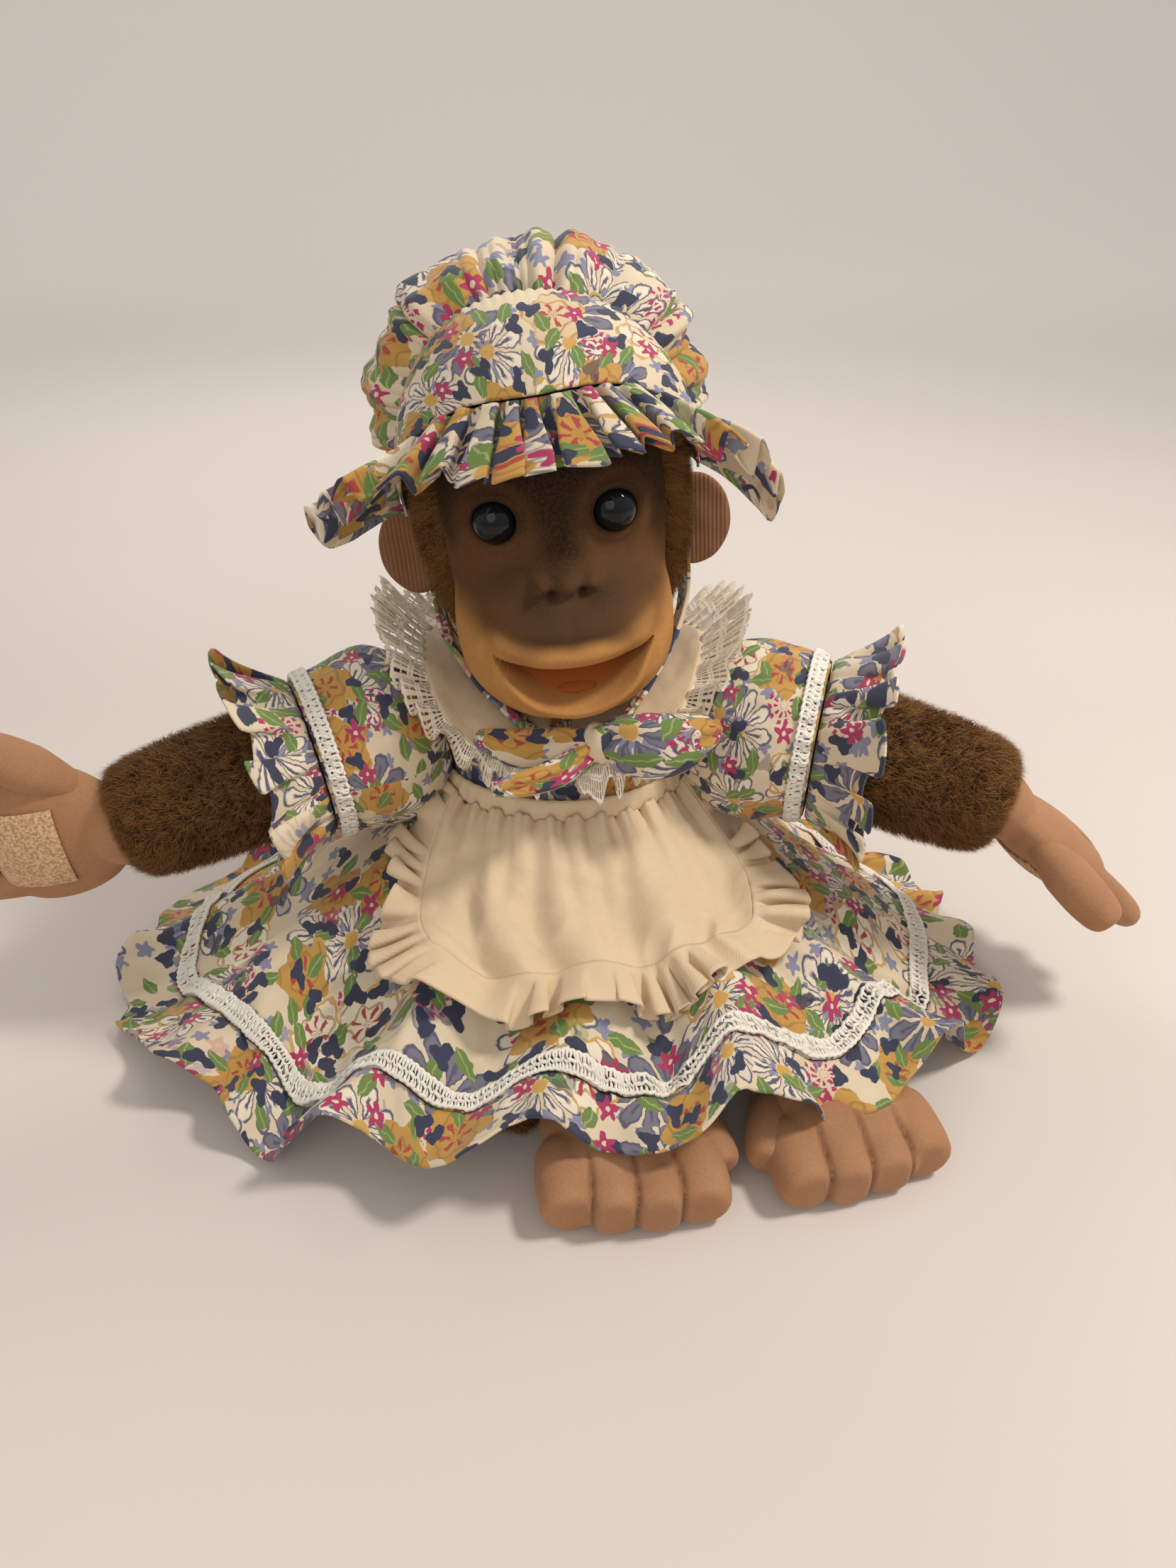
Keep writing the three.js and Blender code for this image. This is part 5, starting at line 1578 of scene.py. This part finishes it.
class PUPPET_OT_feet(bpy.types.Operator):
    """Two velour feet, each with four stitched toes and a big toe"""

    bl_idname = "puppet.feet"
    bl_label = "Feet"

    def execute(self, context):
        for side, sign in SIDES.items():
            x, y, turn = FOOT_AT[side]
            axes = Matrix.Translation(Vector((x, y, 0))) @ Matrix.Rotation(math.radians(turn), 4, "Z")
            inner = -sign
            shape = bmesh.new()
            half = FOOT_WIDTH / 2 - 1
            add_ball(shape, (0, 3, FOOT_MIDDLE), (half, FOOT_LENGTH / 2 - 3, FOOT_MIDDLE), fine=40)
            add_ball(shape, (0, -11, FOOT_MIDDLE - 0.5), (half, 19, FOOT_MIDDLE - 0.5), fine=40)
            for k in (-1.5, -0.5, 0.5, 1.5):
                along = -FOOT_LENGTH / 2 + 9 + 1.2 * (k * inner - 0.5) ** 2
                across = k * TOE_PITCH
                toe = smooth_path(
                    [(across, along + 16, FOOT_MIDDLE - 1.5), (across, along - 11, FOOT_MIDDLE - 2.5)]
                )
                add_limb(shape, toe, lambda t: 10.6 + 0.4 * t, (1, 0, 0), 1.0, 0.28, 32, 24)
            foot = finished(f"foot_{side}_velour", shape, "tan_velour", axes)
            fused(foot, 1.1, 6)
            places = local_places(axes, points_of(foot))
            groove = np.zeros(len(places))
            for k in (-1, 0, 1):
                line = hump(places[:, 0] - k * TOE_PITCH - 0.5 * np.sin(places[:, 1] / 5 + k), 0.9)
                groove = np.maximum(groove, line * (1 - soft_step(-20, -11, places[:, 1])))
            places[:, 2] -= groove * 1.5 * soft_step(8, 14, places[:, 2])
            places[:, 1] += groove * 1.6 * (1 - soft_step(-36, -28, places[:, 1]))
            places[:, 2] = np.maximum(places[:, 2], SOLE)
            move_points(foot, world_places(axes, places))
            # The groove's depth, which the velour paints dark as shade in the groove.
            field(foot, "groove", groove * 0.5)
            worn(foot, f"foot_{side}", "velour", f"foot_{side}", padded=0.7)

            shape = bmesh.new()
            toe_path = smooth_path([(inner * 22, 4, 12.5), (inner * 28, -8, 12), (inner * 32, -20, 9.5)])
            add_limb(shape, toe_path, lambda t: 8.2 + 0.8 * t, (0, 0, 1), 0.95, 0.42)
            for vert in shape.verts:
                vert.co.z = max(vert.co.z, SOLE)
            toe = finished(f"big_toe_{side}_velour", shape, "tan_velour", axes)
            worn(toe, f"foot_{side}", "velour", f"big_toe_{side}", padded=0.6)
        return {"FINISHED"}


# What is inside


POCKET_SEAT = (0, 4, -1.5)


class PUPPET_OT_insides(bpy.types.Operator):
    """The glove's body and lining, the stuffed seat, the neck, the pockets and the upper arms"""

    bl_idname = "puppet.insides"
    bl_label = "Insides"

    def execute(self, context):
        for node, body, material, slot, voxel in (
            ("torso", "root", "plush_backing", "plush", 2.0),
            ("glove_lining", "root", "dark_lining", "lining", 1.3),
            ("seat_stuffing", "root", "dark_lining", "lining", 2.0),
            ("neck_tube", "neck", "plush_backing", "plush", 1.6),
            ("finger_pocket", "head", "dark_lining", "lining", 1.2),
            ("thumb_pocket", "jaw", "flocked_face", "lining", 1.2),
            ("upper_arm_left", "upper_arm_left", "plush_backing", "plush", 2.0),
            ("upper_arm_right", "upper_arm_right", "plush_backing", "plush", 2.0),
        ):
            piece = soft_copy(node, material, voxel, 4)
            if node == "thumb_pocket":
                field(piece, "inside", np.ones(len(piece.data.vertices)))
                move_points(piece, points_of(piece) + np.array(POCKET_SEAT))
            if slot == "plush" or node == "seat_stuffing":
                worn(piece, body, slot, padded=0.5)
            else:
                sewn(piece, body, slot, None)
        return {"FINISHED"}


# Bonnet, in the head's axes


BONNET_CENTRE = Vector((0, 4, 56))
BONNET_RADII = (54, 56, 64)
BONNET_ROLL = Matrix.Rotation(math.radians(-3.5), 3, "Y")
BRIM_PLEATS = 16
BRIM_WIDTH = 22.5
CROWN_CENTRE = (0, 25, 80)
CROWN_RADII = (61, 36, 51)
CROWN_PUFFS = 17


def askew(place):
    return on_head(BONNET_ROLL @ (place - BONNET_CENTRE) + BONNET_CENTRE)


def dome_point(over, forward, grow=0.0):
    """A place on the dome, by degrees to the side and forward."""
    a, b = math.radians(over), math.radians(forward)
    direction = (math.sin(a) * math.cos(b), -math.sin(b), math.cos(a) * math.cos(b))
    return BONNET_CENTRE + Vector(
        [share * (radius + grow) for share, radius in zip(direction, BONNET_RADII)]
    )


def seam_forward(over):
    return 4 + 50 * max(0.0, math.cos(math.radians(over))) ** 0.9


def ruche_forward(over):
    return -24 + 36 * max(0.0, math.cos(math.radians(over)))


class PUPPET_OT_bonnet(bpy.types.Operator):
    """The bonnet: smooth band, gathered crown and pleated brim"""

    bl_idname = "puppet.bonnet"
    bl_label = "Bonnet"

    def execute(self, context):

        def band_place(u, v):
            over = mix(-95, 95, u)
            forward = mix(ruche_forward(over), seam_forward(over), v)
            grow = wander(u * 4, v * 2, 9.0) * 0.7 + 0.8 * math.sin(math.pi * clamp(v))
            grow += math.cos(u * TURN * 48) * 0.5 * math.exp(-v * 8)
            return askew(dome_point(over, forward, grow))

        band = sheet_piece("bonnet_dome", band_place, 160, 40, laid_out(205, 46, 500, 0), thick=1.0)

        def brim_place(u, v):
            over = mix(-95, 95, u)
            front = max(0.0, math.cos(math.radians(over)))
            turn = math.radians(over)
            side = 1 - front
            droop = 0.3 + 0.2 * math.sin(turn)
            down = -0.94 * front - droop * side
            outward = Vector((math.sin(turn) * 0.95, -0.34 * front - 0.15 * side, down))
            normal = Vector((math.sin(turn) * front, -front, 0.2 + side)).normalized()
            back = 0.4 * side * math.copysign(1, turn)
            along = Vector((math.cos(turn), back, -math.sin(turn))).normalized()
            phase = u * BRIM_PLEATS + 0.45 * wander(u * 9, 0.1, 4.0)
            height, fold = frilled(phase, 1.6, 0.17 * min(1.0, 0.3 + v))
            depth = (1.6 + 3.4 * v) * (1 + 0.6 * wander(u * 23, 0.6, 8.0)) * height
            curl = (4.0 + 3 * side) * v * v * wander(u * 12, 0.7, 6.0)
            curl += (3 - 11 * max(0.0, math.sin(turn))) * side * v**3
            width = BRIM_WIDTH + 18 * side**2 + 3 * wander(u * 17, 0.2, 5.0)
            width *= math.sqrt(1 - (max(0.0, abs(over) - 76) / 21) ** 2)
            spot = dome_point(over, seam_forward(over)) + outward.normalized() * (0.8 + v * width)
            spot += along * (fold * 330 / BRIM_PLEATS * min(1.0, 0.3 + v))
            return askew(spot + normal * (depth + curl))

        brim = sheet_piece("bonnet_frill", brim_place, 760, 18, laid_out(330, 28, 60, 300))

        def crown_place(u, v):
            turn = TURN * u
            polar = math.pi * (0.002 + 0.978 * clamp(v))
            ring = math.sin(polar)
            direction = Vector((math.sin(turn) * ring, math.cos(polar), math.cos(turn) * ring))
            uneven = noise.noise(Vector((math.sin(turn) * 2.6, math.cos(turn) * 2.6, 2.0)))
            lumps = abs(math.sin(CROWN_PUFFS / 2 * turn + 4.2 * uneven)) ** 0.7
            small = abs(math.sin(CROWN_PUFFS * 1.5 * turn + 5 * uneven + 1)) ** 0.8
            front = clamp((polar / math.pi - 0.3) / 0.35)
            ruche = 1 + (0.02 + 0.085 * front) * (lumps - 0.6) * ring * (1 + 1.3 * uneven)
            ruche += 0.03 * (small - 0.6) * front
            soft = noise.noise(direction * 3.1) * 0.05 + noise.noise(direction * 8) * 0.014
            place = Vector(
                [at + part * radius * (ruche + soft) for at, part, radius in
                 zip(CROWN_CENTRE, direction, CROWN_RADII)]
            )
            return askew(place)

        crown = sheet_piece("bonnet_puff", crown_place, 420, 100, laid_out(380, 130, 100, 600), closed=True)
        sewn(band, "head", "print", "bonnet_band")
        sewn(brim, "head", "print", "bonnet_brim")
        sewn(crown, "head", "print", "bonnet_crown")
        return {"FINISHED"}


STRAP_PATH = ((47, 5, 48), (47, -1, 25), (43, -14, 2), (27, -36, -13.5), (14, -51, -22))


class PUPPET_OT_ties(bpy.types.Operator):
    """The bonnet's straps down the cheeks"""

    bl_idname = "puppet.ties"
    bl_label = "Ties"

    def execute(self, context):
        for side, sign in SIDES.items():
            path = smooth_path([(sign * x, y, z) for x, y, z in STRAP_PATH])

            def place(u, v, path=path):
                share = clamp(u)
                ahead = (path(min(share + 0.01, 1)) - path(max(share - 0.01, 0))).normalized()
                spot = path(share)
                outward = (spot - Vector(BROW[0])).normalized()
                across = ahead.cross(outward).normalized()
                folds = 0.7 * wander(u * 8, v * 2, 3.0) + 0.9 * math.cos(v * 9 + 3 * wander(u * 4, 0.3))
                return on_head(spot + across * ((v - 0.5) * 8) + outward * folds)

            def strap_flat(u, v, sign=sign):
                return v * 12 + sign * 80, u * 110

            strap = sheet_piece(f"strap_{side}", place, 70, 8, strap_flat, thick=1.4)
            sewn(strap, "head", "print", f"bonnet_strap_{side}")
        return {"FINISHED"}


COVE_START = 1500
COVE_LENGTH = 1400
CAMERA_PLACE = (12, -378, 313)
CAMERA_DOWN = 32.5
LENS = 24.0
SENSOR = 36.0
ROOM_LIGHT = 0.54


class PUPPET_OT_stage(bpy.types.Operator):
    """A pale floor that curves up into a backdrop, soft lamps and the camera"""

    bl_idname = "puppet.stage"
    bl_label = "Stage"

    def execute(self, context):
        scene = context.scene
        shape = bmesh.new()

        def cove(u, v):
            along = mix(-2500, 5200, v)
            turn = clamp((along - COVE_START) / COVE_LENGTH) * math.pi / 2
            radius = COVE_LENGTH / (math.pi / 2)
            rise = radius * (1 - math.cos(turn)) + max(0.0, along - COVE_START - COVE_LENGTH)
            run = min(along, COVE_START) + radius * math.sin(turn)
            return Vector((mix(-4500, 4500, u), run, rise - 0.2))

        add_grid(shape, cove, 8, 60)
        paper = Finish("pale_floor", Roughness=0.9)
        place = paper.object_place()
        blotches = paper.rough(place, 0.4, 2.0)
        paper.colour = paper.blend(blotches, linear(216, 206, 198), linear(207, 197, 189))
        # Painted light: the paper is painted lighter further back, where it curves up into the backdrop, in
        # place of more light on it.
        _, far, _ = paper.parts(place)
        paper.lay(far.over(1.0, 0.8), linear(253, 245, 238))
        paper.done()
        finished("floor", shape, "pale_floor")

        for name, spot, target, size, power, tint in (
            ("key", (660, -90, 1020), (0, -40, 90), 200, 8.6, (1.0, 0.95, 0.89)),
            ("fill", (-300, -1000, 700), (0, -40, 110), 900, 2.2, (1.0, 0.97, 0.94)),
            ("back", (-300, 900, 1000), (0, 0, 150), 700, 3.6, (1.0, 0.98, 0.95)),
        ):
            lamp = bpy.data.lights.new(name, "AREA")
            lamp.shape = "DISK"
            lamp.size = size * MM
            lamp.energy = power
            lamp.color = tint
            holder = bpy.data.objects.new(name, lamp)
            holder.location = Vector(spot) * MM
            holder.rotation_euler = (Vector(target) - Vector(spot)).to_track_quat("-Z", "Y").to_euler()
            scene.collection.objects.link(holder)

        world = bpy.data.worlds.new("room")
        world.use_nodes = True
        light = world.node_tree.nodes["Background"]
        light.inputs["Color"].default_value = (1.0, 0.98, 0.95, 1.0)
        light.inputs["Strength"].default_value = ROOM_LIGHT
        scene.world = world

        lens = bpy.data.cameras.new("camera")
        lens.lens = LENS
        lens.sensor_width = SENSOR
        camera = bpy.data.objects.new("camera", lens)
        camera.location = Vector(CAMERA_PLACE) * MM
        camera.rotation_euler = (math.radians(90 - CAMERA_DOWN), 0, 0)
        scene.collection.objects.link(camera)
        scene.camera = camera
        scene.view_settings.view_transform = "Standard"
        return {"FINISHED"}


BOW_KNOT = (8, -55, -24)


def chin_bow_parts():
    """The bow's parts: a path, its half widths at the start and the middle, and how flat it is."""
    knot = Vector(BOW_KNOT)
    return (
        ([knot, (-16, -54, -25), (-37, -50, -20)], (3.5, 8), 0.6),
        ([knot, (28, -62, -24), (50, -62, -20)], (4, 12), 0.6),
        ([knot, (-10, -64, -30), (-32, -68, -31)], (3.5, 5.5), 0.5),
    )


class PUPPET_OT_chin_bow(bpy.types.Operator):
    """The bow under the chin"""

    bl_idname = "puppet.chin_bow"
    bl_label = "Chin bow"

    def execute(self, context):
        shape = bmesh.new()
        for number, (points, (thin, thick), flat) in enumerate(chin_bow_parts()):
            path = smooth_path(points)

            def radius(t, thin=thin, thick=thick):
                return mix(thin, thick, math.sin(math.pi * min(1, 0.15 + t * 0.85)))

            surface = limb_surface(path, radius, wide=(0, 0.35, 0.94), flat=flat, blunt=0.35)

            def creased(u, v, surface=surface, number=number):
                turn = TURN * u
                soft = wander(math.cos(turn) * 2 + number * 5, v * 3 + math.sin(turn), 2.0) * 1.3
                folds = math.cos(turn * 6 + number + 2 * v) * 1.2 * math.exp(-v * 3) * min(1, v * 6)
                return on_head(surface(u, v) + normal_of(surface, u, clamp(v, 0.02, 0.98)) * (soft + folds))

            add_grid(
                shape, creased, 60, 46,
                lambda u, v, number=number: (u * 62 + number * 71, v * 58), closed=True,
            )
        middle = Vector(BOW_KNOT)
        rise = Vector((1, 0.5, 6.5))
        knot = smooth_path([middle - rise, middle - Vector((0, 0.8, 0)), middle + rise])
        tight = limb_surface(knot, lambda t: 7.0, wide=(1, 0, 0), flat=0.8, blunt=0.4)
        add_grid(
            shape, lambda u, v: on_head(tight(u, v) + Vector((0, 0, 0.5 * math.cos(u * 40)))), 40, 20,
            laid_out(40, 12, 200, 0), closed=True
        )
        bow = finished("chin_bow_cloth", shape, "floral_cotton")
        sewn(bow, "head", "print", "chin_bow")
        return {"FINISHED"}


# The add-on's settings, panel and list of makers


class PuppetSizes(bpy.types.PropertyGroup):
    """Sizes of the soft parts"""

    pile_length: FloatProperty(
        name="Pile length", description="Length of the brown pile", default=0.0085, unit="LENGTH"
    )
    pile_width: FloatProperty(
        name="Strand width", description="Width of a strand of pile", default=0.00065, unit="LENGTH"
    )


class PuppetColours(bpy.types.PropertyGroup):
    """Colours of the print"""

    ground: FloatVectorProperty(
        name="Ground", description="Colour of the printed cotton between its flowers", subtype="COLOR",
        size=3, default=GROUND[:3],
    )
    rose: FloatVectorProperty(
        name="Roses", description="Colour of the large flowers", subtype="COLOR", size=3,
        default=MUSTARD[:3],
    )


MAKERS = (
    PUPPET_OT_skirt, PUPPET_OT_bodice, PUPPET_OT_sleeves, PUPPET_OT_collar, PUPPET_OT_apron,
    PUPPET_OT_bonnet, PUPPET_OT_ties, PUPPET_OT_chin_bow, PUPPET_OT_face, PUPPET_OT_head,
    PUPPET_OT_forearms, PUPPET_OT_hands, PUPPET_OT_legs, PUPPET_OT_feet, PUPPET_OT_insides, PUPPET_OT_stage
)


class PUPPET_PT_panel(bpy.types.Panel):
    """Lists what the puppet is made of"""

    bl_label = "Puppet"
    bl_idname = "PUPPET_PT_panel"
    bl_space_type = "VIEW_3D"
    bl_region_type = "UI"
    bl_category = "Puppet"

    def draw(self, context):
        for settings in (context.scene.puppet_sizes, context.scene.puppet_colours):
            for name in settings.bl_rna.properties.keys():
                if name not in ("rna_type", "name"):
                    self.layout.prop(settings, name)
        for maker in MAKERS:
            self.layout.operator(maker.bl_idname)


CLASSES = (PuppetSizes, PuppetColours, *MAKERS, PUPPET_PT_panel)


def register():
    for item in CLASSES:
        bpy.utils.register_class(item)
    bpy.types.Scene.puppet_sizes = PointerProperty(type=PuppetSizes)
    bpy.types.Scene.puppet_colours = PointerProperty(type=PuppetColours)


def unregister():
    del bpy.types.Scene.puppet_colours
    del bpy.types.Scene.puppet_sizes
    for item in reversed(CLASSES):
        bpy.utils.unregister_class(item)


def main():
    register()
    for maker in MAKERS:
        group, action = maker.bl_idname.split(".")
        getattr(getattr(bpy.ops, group), action)()


if __name__ == "__main__":
    main()
